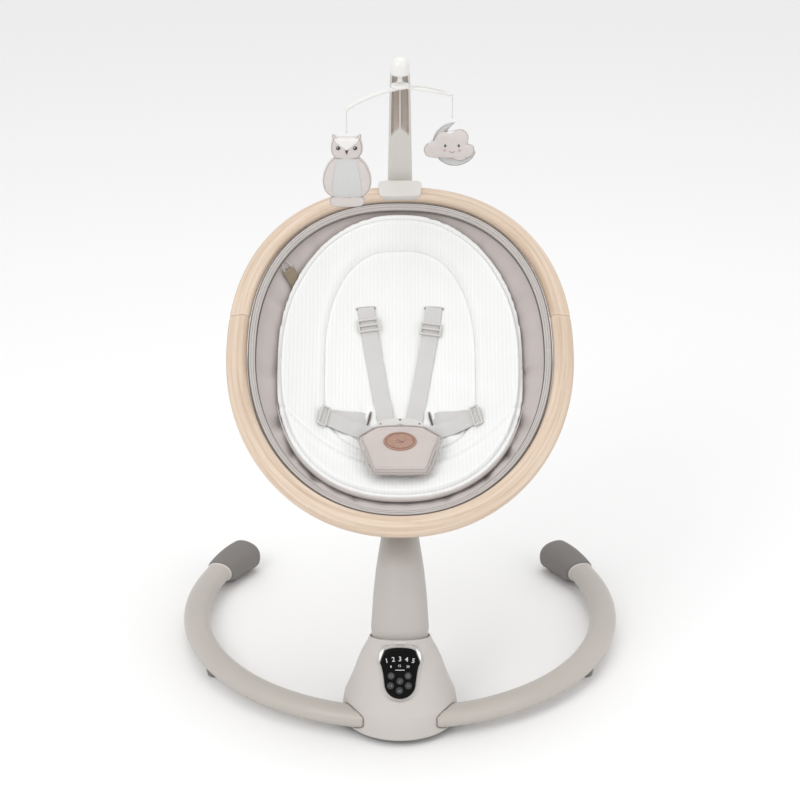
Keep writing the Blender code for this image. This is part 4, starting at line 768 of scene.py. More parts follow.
full = shade(woven, "ShaderNodeMath", {0: height.outputs[0], 1: 0.75, 2: 0.1}, operation="MULTIPLY_ADD")
lit = shade(woven, "ShaderNodeMath", {0: fuzz.outputs["Fac"], 1: 0.35, 2: full.outputs[0]},
            operation="MULTIPLY_ADD",
            use_clamp=True)
cloth_tone = shade(woven, "ShaderNodeMix", {0: lit.outputs[0], 6: given["Gap"], 7: given["Thread"]},
        data_type="RGBA")
low = shade(woven, "ShaderNodeMath", {0: 1.0, 1: given["Mottle"]}, operation="SUBTRACT")
patchy = shade(woven, "ShaderNodeMapRange", {"Value": worn.outputs["Fac"], "From Min": 0.35, "From Max": 0.65,
                                             "To Min": low.outputs[0], "To Max": 1.0})
toned = shade(woven, "ShaderNodeVectorMath", {0: cloth_tone.outputs[2], "Scale": patchy.outputs[0]},
              operation="SCALE")
woven.links.new(toned.outputs[0], put["Colour"])
dull = shade(woven, "ShaderNodeMapRange", {"Value": fuzz.outputs["Fac"], "To Min": 0.82, "To Max": 0.98})
woven.links.new(dull.outputs[0], put["Roughness"])
woven.links.new(lit.outputs[0], put["Height"])


def cloth_of(name, thread, gap, pitch, depth=0.00018, mottle=0.06, sheen=0.25, flat="UV"):
    """A woven or knitted finish. Flat goods weave along their UVs, sewn shapes through their own space."""
    made, tree, shader = finish_of(name)
    if flat == "UV":
        where = shade(tree, "ShaderNodeUVMap").outputs[0]
    else:
        spread = shade(tree, "ShaderNodeTexCoord").outputs["Object"]
        where = shade(tree, "ShaderNodeMapping", {"Vector": spread, "Rotation": (math.radians(-90)
                if flat == "XZ"
                                                  else -SEAT_TILT, 0, 0)}).outputs[0]
    weave = shade(tree, "ShaderNodeGroup", {"Vector": where}, node_tree=woven)
    weave.inputs["Thread"].default_value = thread
    weave.inputs["Gap"].default_value = gap
    weave.inputs["Pitch"].default_value = pitch
    weave.inputs["Mottle"].default_value = mottle
    tree.links.new(weave.outputs["Colour"], shader.inputs["Base Color"])
    tree.links.new(weave.outputs["Roughness"], shader.inputs["Roughness"])
    shader.inputs["Sheen Weight"].default_value = sheen
    shader.inputs["Sheen Roughness"].default_value = 0.6
    bumped(tree, shader, weave.outputs["Height"], depth)
    return made


bowl_cloth = cloth_of("bowl_cloth", tone(205, 196, 193), tone(178, 168, 165), 0.0011, 0.00012, 0.05)
binding_cloth = cloth_of("binding_cloth", tone(212, 206, 202), tone(176, 170, 166), 0.0010)
piping_cord = cloth_of("piping_cord", tone(120, 112, 108), tone(86, 80, 77), 0.0009)
sewing_thread = cloth_of("sewing_thread", tone(146, 138, 134), tone(104, 98, 95), 0.0005)
white_thread = cloth_of("white_thread", tone(214, 211, 208), tone(176, 173, 170), 0.0005)

# folds: (angle round the bowl, how wide, how deep, how far up from the rim they fade)
folds = [(3.62, 0.050, 0.0050, 0.30), (3.86, 0.040, 0.0038, 0.24), (4.10, 0.045, 0.0032, 0.20),
         (5.80, 0.050, 0.0050, 0.30),
         (5.56, 0.040, 0.0038, 0.24), (5.32, 0.045, 0.0032, 0.20), (4.45, 0.040, 0.0022, 0.16),
         (4.98, 0.040, 0.0022, 0.16),
         (3.25, 0.050, 0.0026, 0.30), (6.18, 0.050, 0.0026, 0.30), (2.75, 0.040, 0.0018, 0.25),
         (0.39, 0.040, 0.0018, 0.25),
         (2.20, 0.035, 0.0015, 0.2), (0.94, 0.035, 0.0015, 0.2)]
angles = even_angles(0, 2 * math.pi, BOWL_EDGE, 300)[:-1]
rings = []
for i in range(61):
    reach = 1.0 - (i / 60) * 0.995
    ring = []
    for angle in angles:
        rim = egg(angle, BOWL_EDGE) - Vector((0, RING_WIDEST_S, 0))
        x, y = rim.x * reach, rim.y * reach + RING_WIDEST_S
        sink = 0.0
        for at, wide, deep, fade in folds:
            off = (angle - at - 0.5 * (1 - reach) * math.copysign(1, math.cos(at))) / wide
            sink += 1.35 * deep * (math.exp(-off ** 2) - 0.45 * math.exp(-(off - 1.6) ** 2)) * math.exp(
                -((1 - reach - 0.10) / fade) ** 2)
        sink *= ease((1 - reach) / 0.05)
        sink += 0.0006 * math.sin(angle * 37 + 9 * reach) * ease((1 - reach) / 0.05) * ease((reach - 0.5) * 4)
        ring.append(tuple(TO_SEAT @ Vector((x * (1 + sink * 1.5), y, bowl_height(x, y) - sink))))
    rings.append(ring)
bowl = skinned("hung_bowl", rings, bowl_cloth, caps=False, angle=180)
wall = bowl.modifiers.new("cloth_thickness", "SOLIDIFY")
wall.thickness = 0.0030
wall.offset = 1.0
belongs(bowl, "seat", "mauve_fabric", "bowl_fabric")


def stitch_row(name, points, look, body, slot_name, pitch=0.0034, long=0.0024, thick=0.00035, closed=False):
    """A row of sewn stitches along a line: short plump threads, each dipping in at its ends."""
    points = [Vector(p) for p in points]
    if closed:
        points.append(points[0])
    run = np.concatenate([[0], np.cumsum([(b - a).length for a, b in zip(points, points[1:])])])
    flat = np.array([tuple(p) for p in points])
    bm = bmesh.new()
    uv = bm.loops.layers.uv.new("length")
    for i in range(int(run[-1] / pitch)):
        middle = (i + 0.5) * pitch
        a, m, b = (Vector([float(np.interp(middle + step, run, flat[:, k])) for k in range(3)])
                   for step in (-long / 2, 0, long / 2))
        way = (b - a).normalized() if (b - a).length > 1e-6 else Vector((1, 0, 0))
        one, two = way.orthogonal().normalized(), way.cross(way.orthogonal()).normalized()
        grid = []
        for place, grow in ((a, 0.35), (a.lerp(m, 0.4), 0.9), (m, 1.0), (b.lerp(m, 0.4), 0.9), (b, 0.35)):
            grid.append([bm.verts.new(place + (one * math.cos(t) + two * math.sin(t)) * thick * grow)
                         for t in (0, math.pi / 3, 2 * math.pi / 3, math.pi, 4 * math.pi / 3, 5 * math.pi /
                                   3)])
        for first, second in zip(grid, grid[1:]):
            for j in range(6):
                bm.faces.new((first[j], first[(j + 1) % 6], second[(j + 1) % 6], second[j]))
        bm.faces.new(grid[0])
        bm.faces.new(grid[-1])
    for face in bm.faces:
        for loop in face.loops:
            loop[uv].uv = (loop.vert.co.x, loop.vert.co.y + loop.vert.co.z)
    bmesh.ops.recalc_face_normals(bm, faces=bm.faces)
    mesh = bpy.data.meshes.new(name)
    bm.to_mesh(mesh)
    bm.free()
    mesh.shade_smooth()
    mesh.materials.append(look)
    made = bpy.data.objects.new(name, mesh)
    bpy.context.scene.collection.objects.link(made)
    belongs(made, body, slot_name)
    return made


def rim_line(inset, height, count=260, start=0.0, end=2 * math.pi):
    return [TO_SEAT @ (egg(a, inset) + UP * height) for a in even_angles(start, end, inset, count)]


# the bound edge: a pale turned-over band, then the dark piping below it, then two rows of stitches
rings = []
for angle in even_angles(0, 2 * math.pi, BOWL_EDGE, 300)[:-1]:
    point, out = egg(angle, BOWL_EDGE), rim_way(angle, BOWL_EDGE)
    rings.append([tuple(TO_SEAT @ (point + out * a + UP * b)) for a, b in
                  ((0.0012, -0.0085), (0.0016, 0.0000), (0.0010, 0.0024), (-0.0012, 0.0034),
                   (-0.0042, 0.0030),
                   (-0.0076, 0.0012), (-0.0088, -0.0014), (-0.0082, -0.0042), (-0.0050, -0.0060),
                   (-0.0020, -0.0078))])
rings.append(rings[0])
binding = skinned("rim_binding", rings, binding_cloth, caps=False, angle=180)
belongs(binding, "seat", "mauve_fabric")
for name, inset, height, radius in (("rim_piping", 0.0094, -0.0046, 0.0011), ("rim_cord", -0.0010, 0.0030,
        0.0008)):
    line = rim_line(BOWL_EDGE + inset, height)
    piping = swept(name, line, oval(radius, radius, 10), piping_cord, caps=False)
    belongs(piping, "seat", "mauve_fabric")
for number, (inset, height) in enumerate(((0.0030, 0.0036), (0.0062, 0.0024))):
    stitch_row(f"rim_stitches_{number}", rim_line(BOWL_EDGE + inset, height), sewing_thread, "seat",
               "mauve_fabric")

# ======== padded inlay ========
# The newborn inlay: a thick padded oval of white ribbed knit over foam, edged with a smooth white roll,
# quilted with
# an inner oval seam, and creased where its foot end turns up. It lies loose in the bowl.
INLAY_HALF_WIDTH, INLAY_HEAD, INLAY_FOOT, INLAY_MIDDLE, INLAY_THICK = 0.1910, 0.2735, -0.2245, 0.020, 0.018
INLAY_HEAD_POWER, INLAY_FOOT_POWER = 2.2, 2.5


def inlay_outline(angle, inset=0.0):
    c, s = math.cos(angle), math.sin(angle)
    power, reach = (INLAY_HEAD_POWER, INLAY_HEAD - INLAY_MIDDLE) if s > 0 else (INLAY_FOOT_POWER,
            INLAY_MIDDLE - INLAY_FOOT)
    return ((INLAY_HALF_WIDTH - inset) * math.copysign(abs(c) ** (2 / power), c),
            INLAY_MIDDLE + (reach - inset) * math.copysign(abs(s) ** (2 / power), s))


def inlay_reach(x, y):
    """0 at the inlay's middle, 1 at its edge."""
    y -= INLAY_MIDDLE
    power, reach = (INLAY_HEAD_POWER, INLAY_HEAD - INLAY_MIDDLE) if y > 0 else (INLAY_FOOT_POWER,
            INLAY_MIDDLE - INLAY_FOOT)
    return (abs(x / INLAY_HALF_WIDTH) ** power + abs(y / reach) ** power) ** (1 / power)


def plump(piece, voxel, pressure, most, steps=20, smooth=1):
    """Swell a sewn shape as its filling does: cloth under pressure, no point moving further than most."""
    grid = piece.modifiers.new("even_cloth", "REMESH")
    grid.mode = "VOXEL"
    grid.voxel_size = voxel
    mesh = bpy.data.meshes.new_from_object(piece.evaluated_get(bpy.context.evaluated_depsgraph_get()))
    piece.modifiers.clear()
    looks = list(piece.data.materials)
    piece.data = mesh
    mesh.materials.clear()
    for look in looks:
        mesh.materials.append(look)
    start = np.empty(len(mesh.vertices) * 3)
    mesh.vertices.foreach_get("co", start)
    cloth = piece.modifiers.new("filling", "CLOTH")
    cloth.settings.use_pressure = True
    cloth.settings.uniform_pressure_force = pressure
    cloth.settings.effector_weights.gravity = 0
    cloth.settings.quality = 4
    cloth.settings.tension_stiffness = 12
    cloth.settings.compression_stiffness = 12
    cloth.point_cache.frame_end = steps
    for step in range(1, steps + 1):
        bpy.context.scene.frame_set(step)
    settled = piece.evaluated_get(bpy.context.evaluated_depsgraph_get()).data
    end = np.empty(len(settled.vertices) * 3)
    settled.vertices.foreach_get("co", end)
    piece.modifiers.clear()
    bpy.context.scene.frame_set(1)
    move = (end - start).reshape(-1, 3)
    far = np.linalg.norm(move, axis=1, keepdims=True)
    move *= np.minimum(1.0, most / np.maximum(far, 1e-9))
    mesh.vertices.foreach_set("co", (start.reshape(-1, 3) + move).ravel())
    if smooth:
        round_off = piece.modifiers.new("round_off", "SUBSURF")
        round_off.levels = smooth
        round_off.render_levels = smooth
        mesh = bpy.data.meshes.new_from_object(piece.evaluated_get(bpy.context.evaluated_depsgraph_get()))
        piece.modifiers.clear()
        piece.data = mesh
    piece.data.shade_smooth()
    return piece


RIB = 0.0056
ribbed_white = cloth_of("ribbed_white", tone(238, 239, 238), tone(232, 233, 232), RIB, 0.0003, 0.015, 0.2,
        "seat")
rib_map = next(n for n in ribbed_white.node_tree.nodes if n.type == "MAPPING")
rib_map.inputs["Scale"].default_value = (1.0, 0.0, 0.0)
rib_map.inputs["Location"].default_value = (0.0, RIB / 2, 0.0)
roll_white = cloth_of("roll_white", tone(240, 240, 239), tone(226, 226, 225), 0.0009, 0.0001, 0.02, 0.2,
        "seat")
INLAY_UNDER, ROLL = 0.0042, 0.0056


def over_bowl(angle, reach, height, out=0.0):
    """A point at a share of the way to the inlay's edge, a height square off the bowl and a way out."""
    x, y = inlay_outline(angle, ROLL)
    at = Vector((x * reach, INLAY_MIDDLE + (y - INLAY_MIDDLE) * reach, 0))
    away = Vector((x, y - INLAY_MIDDLE, 0)).normalized()
    ahead, behind = at + away * 0.002, at - away * 0.002
    rise = (bowl_height(ahead.x, ahead.y) - bowl_height(behind.x, behind.y)) / 0.004
    along, square = (away + UP * rise).normalized(), (UP - away * rise).normalized()
    return TO_SEAT @ (Vector((at.x, at.y, bowl_height(at.x, at.y))) + square * height + along * out)


def inlay_rings(lower, upper, roll):
    """The padded shape's rows: over the top, round the rolled edge, and back below."""
    rows = [(0.01 + 0.99 * i / 26, upper - (upper - lower - 2 * roll) * ease((i / 26 - 0.80) / 0.20), 0.0)
            for i in range(27)]
    rows += [(1.0, lower + roll + roll * math.cos(math.pi * i / 8), roll * math.sin(math.pi * i / 8))
             for i in range(1, 8)]
    rows += [(0.01 + 0.99 * (1 - i / 16), lower, 0.0) for i in range(17)]
    return [[tuple(over_bowl(2 * math.pi * j / 150, reach, height, out)) for j in range(150)]
            for reach, height, out in rows]


rings = inlay_rings(INLAY_UNDER, INLAY_THICK - 0.0010, ROLL)
inlay = skinned("newborn_inlay", rings, ribbed_white, angle=180)
plump(inlay, 0.0046, 3.0, 0.0030)
inlay.data.materials.append(roll_white)
SEAM_S, SEAM_POWER = 0.058, 2.6
from_seat = TO_SEAT.inverted()
lift = TO_SEAT.to_3x3() @ UP
for vert in inlay.data.vertices:
    local = from_seat @ vert.co
    x, s = local.x, local.y
    if local.z < bowl_height(x, s) + 0.0085:
        continue
    reach = inlay_reach(x, s)
    from_edge = (1 - reach) * 0.20
    groove = 0.0034 * math.exp(-((from_edge - 0.0135) / 0.0030) ** 2)
    # inner oval seam
    oval_reach = (abs(x / 0.112) ** SEAM_POWER + abs((s - SEAM_S) / (0.160 if s > SEAM_S else 0.170)) ** (
        2.2 if s > SEAM_S else 5.0)) ** (1 / 2.6)
    groove += 0.0026 * math.exp(-(((oval_reach - 1) * 0.14) / 0.0028) ** 2)
    groove -= 0.0010 * math.exp(-(((oval_reach - 1) * 0.14 - 0.008) / 0.006) ** 2)
    # the crease where the foot end turns up, and puckers by the waist slots and the pad
    crease = -0.066 - 0.072 * (1 - min(1.0, abs(x) / 0.168) ** 2)
    groove += 0.0030 * math.exp(-((s - crease) / 0.0040) ** 2) * ease((abs(x) - 0.030) / 0.03) * ease((0.97 -
            reach) / 0.05)
    groove -= 0.0022 * math.exp(-((s - crease + 0.012) / 0.0085) ** 2) * ease((0.95 - reach) / 0.1)
    around = math.atan2(s + 0.052, abs(x) - 0.060)
    near = math.hypot(abs(x) - 0.060, s + 0.052)
    groove += 0.0011 * math.sin(around * 7 + 0.6) * math.exp(-((near - 0.030) / 0.018) ** 2)
    groove += 0.0008 * math.sin(x * 95 + s * 40) * math.sin(s * 62 - x * 31) * ease((0.9 - reach) / 0.2)
    vert.co -= lift * groove
for face in inlay.data.polygons:
    local = from_seat @ face.center
    if (1 - inlay_reach(local.x, local.y)) * 0.20 < 0.0125:
        face.material_index = 1
belongs(inlay, "seat", "inlay_white", "seat_inlay")

from mathutils.bvhtree import BVHTree


def cover_of(piece):
    """The piece's surface, to lay other goods on."""
    mesh = piece.data
    return BVHTree.FromPolygons([v.co.copy() for v in mesh.vertices],
            [tuple(p.vertices) for p in mesh.polygons])


inlay_cover = cover_of(inlay)


def laid_on(x, s, rise=0.0, across=0.0):
    """A point over the inlay's upper surface, clear of it over a strap's width."""
    top = -1.0
    for shift in ((0.0,) if across == 0 else (-across, 0.0, across)):
        hit = inlay_cover.ray_cast(TO_SEAT @ Vector((x + shift, s, 0.10)), -lift)[0]
        if hit:
            top = max(top, (from_seat @ hit).z)
    if top < -0.9:
        top = bowl_height(x, s) + INLAY_THICK
    return TO_SEAT @ Vector((x, s, top + rise))


edge_line = [laid_on(*inlay_outline(2 * math.pi * i / 220, 0.0165), 0.0004) for i in range(220)]
stitch_row("inlay_edge_stitches", edge_line, white_thread, "seat", "inlay_white", closed=True)
seam_line = []
for i in range(220):
    t = 2 * math.pi * i / 220
    c, s = math.cos(t), math.sin(t)
    way_power, seam_reach = (2.2, 0.160) if s > 0 else (5.0, 0.170)
    seam_line.append(laid_on(0.112 * math.copysign(abs(c) ** (2 / SEAM_POWER), c),
                             SEAM_S + seam_reach * math.copysign(abs(s) ** (2 / way_power), s), 0.0003))
# a mauve cloth tape binds the inlay's lower edge round the foot end
tape_line = [over_bowl(math.radians(195 + 150 * i / 120), 1.0, INLAY_UNDER + ROLL * 0.55, ROLL * 0.95)
             for i in range(121)]
tape_sizes = [min(1.0, 0.12 + min(i, 120 - i) / 30) for i in range(121)]
foot_tape = swept("inlay_foot_tape", tape_line, [oval(0.0028 * size, 0.0030 * size, 14)
        for size in tape_sizes],
                  binding_cloth)
belongs(foot_tape, "seat", "mauve_fabric")
stitch_row("inlay_seam_stitches", seam_line, white_thread, "seat", "inlay_white", closed=True)

# ======== harness webbing and adjusters ========
# Flat polyester webbing, 25 mm wide. Each strap comes up through a bound slit in the inlay, passes a
# three-bar
# plastic adjuster and runs under the crotch pad.
webbing = cloth_of("webbing", tone(222, 221, 220), tone(184, 182, 181), 0.0013, 0.00025, 0.03, 0.15)
slit_painted_shade = cloth_of("slit_painted_shade", tone(92, 88, 86), tone(60, 58, 57), 0.0009)
adjuster_plastic = moulded("adjuster_plastic", tone(206, 203, 199), 0.36, 1800.0, 0.00002, 0.3)
WEB_HALF, WEB_THICK = 0.0125, 0.0016


def web(name, route, look, thick=WEB_THICK, half=WEB_HALF):
    """Flat webbing through seat points, woven along its length."""
    fine = []
    for a, b in zip(route, route[1:]):
        fine += [a.lerp(b, i / 6) for i in range(6)]
    fine.append(route[-1])
    for _ in range(3):
        fine = [fine[0]] + [(a + 2 * b + c) / 4 for a, b, c in zip(fine, fine[1:], fine[2:])] + [fine[-1]]
    made = swept(name, fine, oval(half, thick / 2, 20, 7), look, lift)
    belongs(made, "seat", "webbing")
    return made


def slit(name, x, s, turn, half=0.0150):
    """A bound buttonhole in the inlay, its opening filled with a dark disc of painted shade."""
    loop = []
    for a, b in oval(half, 0.0022, 36, 3.0):
        loop.append(laid_on(x + a * math.cos(turn) - b * math.sin(turn), s + a * math.sin(turn) + b *
                math.cos(turn),
                            0.0006))
    loop += loop[:2]
    hem = swept(f"{name}_hem", loop, oval(0.0009, 0.0009, 8), binding_cloth, caps=False)
    middle = sum(loop[:-2], Vector()) / (len(loop) - 2)
    # the dark disc inside the hem is painted shade standing in for the opening
    hole = skinned(f"{name}_hole", [[tuple(middle.lerp(p, g) + lift * h) for p in loop[:-2]]
                                    for g, h in ((1.0, -0.0003), (0.6, 0.0), (0.02, 0.0001))], slit_painted_shade)
    for made in (hem, hole):
        belongs(made, "seat", "mauve_fabric")


def adjuster(name, place, along, across_half, long, bars):
    """A moulded slide of two rails joined by cross bars, lying on the webbing."""
    along = along.normalized()
    side = along.cross(lift).normalized()
    over = side.cross(along).normalized()
    bm = bmesh.new()

    def rail(centre, size):
        made = bmesh.ops.create_cube(bm, size=1.0)["verts"]
        bmesh.ops.scale(bm, vec=size, verts=made)
        turn = Matrix((along, side, over)).transposed().to_4x4()
        bmesh.ops.transform(bm, matrix=Matrix.Translation(place + along * centre[0] + side * centre[1] +
                over * centre[2])
                            @ turn, verts=made)
        edges = list({e for v in made for e in v.link_edges})
        bmesh.ops.bevel(bm, geom=edges, offset=0.0009, segments=3, profile=0.5, affect="EDGES")

    for sign in (-1, 1):
        rail((0, sign * (across_half - 0.0016), 0), (long, 0.0032, 0.0038))
    for at in bars:
        rail((at, 0, 0.0004), (0.0030, across_half * 2 - 0.001, 0.0034))
    mesh = bpy.data.meshes.new(name)
    bm.to_mesh(mesh)
    bm.free()
    mesh.shade_smooth()
    mesh.set_sharp_from_angle(angle=math.radians(50))
    mesh.materials.append(adjuster_plastic)
    made = bpy.data.objects.new(name, mesh)
    bpy.context.scene.collection.objects.link(made)
    belongs(made, "seat", "plastic_light")
    return made


for side, word in ((-1, "left"), (1, "right")):
    slot_at, join_at = Vector((side * 0.0515, 0.138)), Vector((side * 0.0195, -0.057))
    way = (join_at - slot_at).normalized()
    turn = math.atan2(way.y, way.x) + math.pi / 2
    slit(f"shoulder_slit_{word}", slot_at.x, slot_at.y + 0.002, turn)
    route = [laid_on(slot_at.x, slot_at.y + 0.0035, -0.0030), laid_on(slot_at.x, slot_at.y + 0.0025, 0.0014,
            0.008)]
    for i in range(1, 13):
        at = slot_at.lerp(join_at, i / 12)
        route.append(laid_on(at.x, at.y, 0.0021, 0.008))
    strap = web(f"shoulder_web_{word}", route, webbing)
    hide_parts(f"shoulder_strap_{word}")
    at = slot_at.lerp(join_at, 0.13 if side < 0 else 0.16)
    run = laid_on(*(at + way * 0.01), 0.0021, 0.008) - laid_on(*(at - way * 0.01), 0.0021, 0.008)
    slide = adjuster(f"shoulder_slide_{word}", laid_on(at.x, at.y, 0.0048, 0.008), run, 0.0165, 0.0200,
                     (-0.0086, 0.0, 0.0086))
    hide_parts(f"shoulder_adjuster_{word}")
    # waist strap: out of its slit, through the slide, and back over itself to the pad
    outer, inner = Vector((side * 0.1150, -0.060)), Vector((side * 0.030, -0.081))
    hole = Vector((side * 0.0455, -0.046))
    slit(f"waist_slit_{word}", hole.x, hole.y, math.pi / 2 + side * 0.2, 0.0140)
    lower = [laid_on(hole.x, hole.y, -0.003)] + [laid_on(*hole.lerp(outer + Vector((0, 0.004)), i / 6),
            0.0016, 0.004) for i in range(1, 7)]
    web(f"waist_under_web_{word}", lower, webbing)
    way = (inner - outer).normalized()
    route = [laid_on(*(outer - way * 0.004), 0.0030, 0.004)]
    route += [laid_on(*outer.lerp(inner, i / 8), 0.0046, 0.004) for i in range(9)]
    strap = web(f"waist_web_{word}", route, webbing)
    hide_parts(f"waist_strap_{word}")
    run = laid_on(*(outer + way * 0.01), 0.0046, 0.004) - laid_on(*(outer - way * 0.006), 0.0046, 0.004)
    slide = adjuster(f"waist_slide_{word}", laid_on(*(outer + way * 0.004), 0.0068, 0.004), run, 0.0165,
            0.0140,
                     (-0.0056, 0.0056))
    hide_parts(f"waist_adjuster_{word}")

# ======== buckle, crotch pad and badge ========
# A light plastic buckle takes the four tongues. A six-sided foam pad in mauve cloth, bound and stitched round
# its edge, covers it, with an oval brown leather badge glued in the middle.
BUCKLE_SLOPE, PAD_SLOPE = math.radians(11.5), math.radians(17.0)
BUCKLE_S = -0.085
BUCKLE_RISE = bowl_height(0.020, BUCKLE_S) + 0.0030 + INLAY_THICK + 0.0027
TO_BUCKLE = TO_SEAT @ Matrix.Translation((0, BUCKLE_S, BUCKLE_RISE)) @ Matrix.Rotation(-BUCKLE_SLOPE, 4, "X")
buckle_plastic = moulded("buckle_plastic", tone(208, 206, 203), 0.34, 1800.0, 0.00002, 0.3)
rings = []
for inset, height in ((0.0016, 0.0), (0.0004, 0.0012), (0.0, 0.0028), (0.0, 0.0082), (0.0006, 0.0102),
        (0.0018, 0.0112),
                      (0.0050, 0.0115), (0.0085, 0.0112), (0.0115, 0.0109)):
    rings.append([tuple(TO_BUCKLE @ Vector((a, b, height))) for a, b in oval(0.0200 - inset, 0.0180 - inset,
            56, 5.0)])
buckle = skinned("buckle_body", rings, buckle_plastic)
belongs(buckle, "seat", "plastic_light", "harness_buckle")
press = turned("buckle_press", [(0.0080, 0.0072), (0.0080, 0.0114), (0.0076, 0.0121), (0.0064, 0.0123),
        (0.0030, 0.0120),
                                (0.0002, 0.0119)], dark_plastic, TO_BUCKLE)
belongs(press, "release", "button_grey", "buckle_button")
# the light plastic yoke above the pad, where the straps meet, with two small rivet holes and a catch between
rings = []
for grow, height in ((1.0, 0.0110), (1.0, 0.0126), (0.96, 0.0134), (0.80, 0.0138), (0.30, 0.0140),
        (0.02, 0.0140)):
    rings.append([tuple(TO_BUCKLE @ Vector((a * grow, 0.0200 + b * grow - 0.0030 * (a / 0.034) ** 2, height)))
                  for a, b in oval(0.0340, 0.0105, 64, 3.2)])
yoke = skinned("buckle_yoke", rings, buckle_plastic)
belongs(yoke, "seat", "plastic_light")
# the two outer dark dots are painted shade standing in for the rivet holes; the middle one is the catch
for number, (x, y, r) in enumerate(((-0.0285, 0.0185, 0.0011), (0.0285, 0.0185, 0.0011),
        (0.0, 0.0268, 0.0015))):
    dot = turned(f"yoke_eye_{number}", [(r, 0.0120), (r, 0.0144), (r * 0.5, 0.0145), (r * 0.05, 0.0144)],
                 dark_plastic,
                 TO_BUCKLE @ Matrix.Translation((x, y, 0)))
    belongs(dot, "seat", "button_grey")

PAD_TOP_S, PAD_WIDE_S, PAD_LOW_S = -0.067, -0.094, -0.168
PAD_LIFT = BUCKLE_RISE + 0.0115 + 0.0008 + 0.0015
TO_PAD = TO_SEAT @ Matrix.Translation((0, PAD_TOP_S, PAD_LIFT)) @ Matrix.Rotation(-PAD_SLOPE, 4, "X")
pad_long = (PAD_TOP_S - PAD_LOW_S) / math.cos(PAD_SLOPE)
pad_wide = (PAD_TOP_S - PAD_WIDE_S) / math.cos(PAD_SLOPE)
pad_top, pad_low = -0.0120, -pad_long - 0.0090
pad_corners = [(0.0, pad_top + 0.0020), (0.0200, pad_top + 0.0012), (0.0345, pad_top - 0.0016),
               (0.0380, pad_top - 0.0030),
               (0.0585, -pad_wide - 0.0050), (0.0605, -pad_wide - 0.0095), (0.0600, -pad_wide - 0.0150),
               (0.0445, pad_low + 0.014), (0.0400, pad_low + 0.002), (0.0380, pad_low),
               (0.0, pad_low - 0.0015)]
pad_corners = pad_corners + [(-x, y) for x, y in reversed(pad_corners) if x > 0]


def even_loop(corners, count):
    """Points at even steps round a closed outline."""
    ring = [Vector(c) for c in corners] + [Vector(corners[0])]
    run = np.concatenate([[0], np.cumsum([(b - a).length for a, b in zip(ring, ring[1:])])])
    return [Vector((float(np.interp(run[-1] * i / count, run, [c.x for c in ring])),
                    float(np.interp(run[-1] * i / count, run, [c.y for c in ring])))) for i in range(count)]


def sewn_shape(name, corners, middle, stand, thick, look, edge=0.35, count=120):
    """A flat sewn envelope: the outline, a thin edge, and two gently crowned faces."""
    loop = even_loop(corners, count)
    middle = Vector(middle)
    rings = []
    for grow, height in ((0.02, -1.0), (0.5, -0.98), (0.85, -0.85), (0.96, -0.62), (1.0, -edge), (1.0, edge),
            (0.96, 0.62),
                         (0.85, 0.85), (0.5, 0.98), (0.02, 1.0)):
        rings.append([tuple(stand @ Vector((*middle.lerp(p, grow), height * thick))) for p in loop])
    return skinned(name, rings, look, angle=180)


pad_cloth = cloth_of("pad_cloth", tone(211, 201, 196), tone(178, 168, 163), 0.0012, 0.0002, 0.05, 0.3, "seat")
pad = sewn_shape("crotch_pad_cover", pad_corners, (0, -0.056), TO_PAD @ Matrix.Translation((0, 0, 0.0050)),
        0.0040, pad_cloth)
plump(pad, 0.0028, 5.0, 0.0022)
belongs(pad, "seat", "pad_fabric", "crotch_pad")
pad_cover = cover_of(pad)
pad_up = TO_PAD.to_3x3() @ UP


def on_pad(x, y, rise=0.0004):
    hit = pad_cover.ray_cast(TO_PAD @ Vector((x, y, 0.05)), -pad_up)[0]
    return (hit or TO_PAD @ Vector((x, y, 0.010))) + pad_up * rise


def inset_loop(corners, middle, inset, count=150):
    middle = Vector(middle)
    return [p + (middle - p).normalized() * inset for p in even_loop(corners, count)]


stitch_row("pad_edge_stitches", [on_pad(*p) for p in inset_loop(pad_corners, (0, -0.056), 0.0055)],
           sewing_thread, "seat",
           "pad_fabric", closed=True)
line = [TO_PAD @ Vector((*(p * 1.004), 0.0050)) for p in inset_loop(pad_corners, (0, -0.056), -0.0002)]
line += line[:2]
pad_binding = cloth_of("pad_binding", tone(198, 188, 183), tone(160, 150, 145), 0.0009)
cord = swept("pad_binding_cord", line, oval(0.0014, 0.0016, 12), pad_binding, pad_up, caps=False)
belongs(cord, "seat", "pad_fabric")

badge_leather, tree, shader = finish_of("badge_leather")
place = shade(tree, "ShaderNodeTexCoord").outputs["Object"]
pebble = shade(tree, "ShaderNodeTexVoronoi", {"Vector": place, "Scale": 1500.0})
stain = shade(tree, "ShaderNodeTexNoise", {"Vector": place, "Scale": 160.0, "Detail": 4.0})
hide = shade(tree, "ShaderNodeMix", {0: stain.outputs["Fac"], 6: tone(146, 110, 94), 7: tone(184, 150, 133)},
             data_type="RGBA")
tree.links.new(hide.outputs[2], shader.inputs["Base Color"])
gloss = shade(tree, "ShaderNodeMapRange", {"Value": stain.outputs["Fac"], "To Min": 0.45, "To Max": 0.7})
tree.links.new(gloss.outputs[0], shader.inputs["Roughness"])
bumped(tree, shader, pebble.outputs["Distance"], 0.00015)
emboss_brown = moulded("emboss_brown", tone(94, 64, 54), 0.55, 1800.0, 0.00003)
crown = on_pad(0, -0.052, 0.0)
TO_BADGE = Matrix.Translation(crown) @ TO_PAD.to_3x3().to_4x4()
rings = [[tuple(TO_BADGE @ Vector((a, b, h))) for a, b in oval(0.0240 - i, 0.0205 - i, 64)]
         for i, h in ((0.0, -0.0004), (0.0, 0.0009), (0.0006, 0.0015), (0.0020, 0.0017), (0.0026, 0.0012),
                      (0.0140, 0.0013),
                      (0.0195, 0.0013))]
badge = skinned("leather_badge", rings, badge_leather)
belongs(badge, "seat", "badge_leather", "pad_badge")
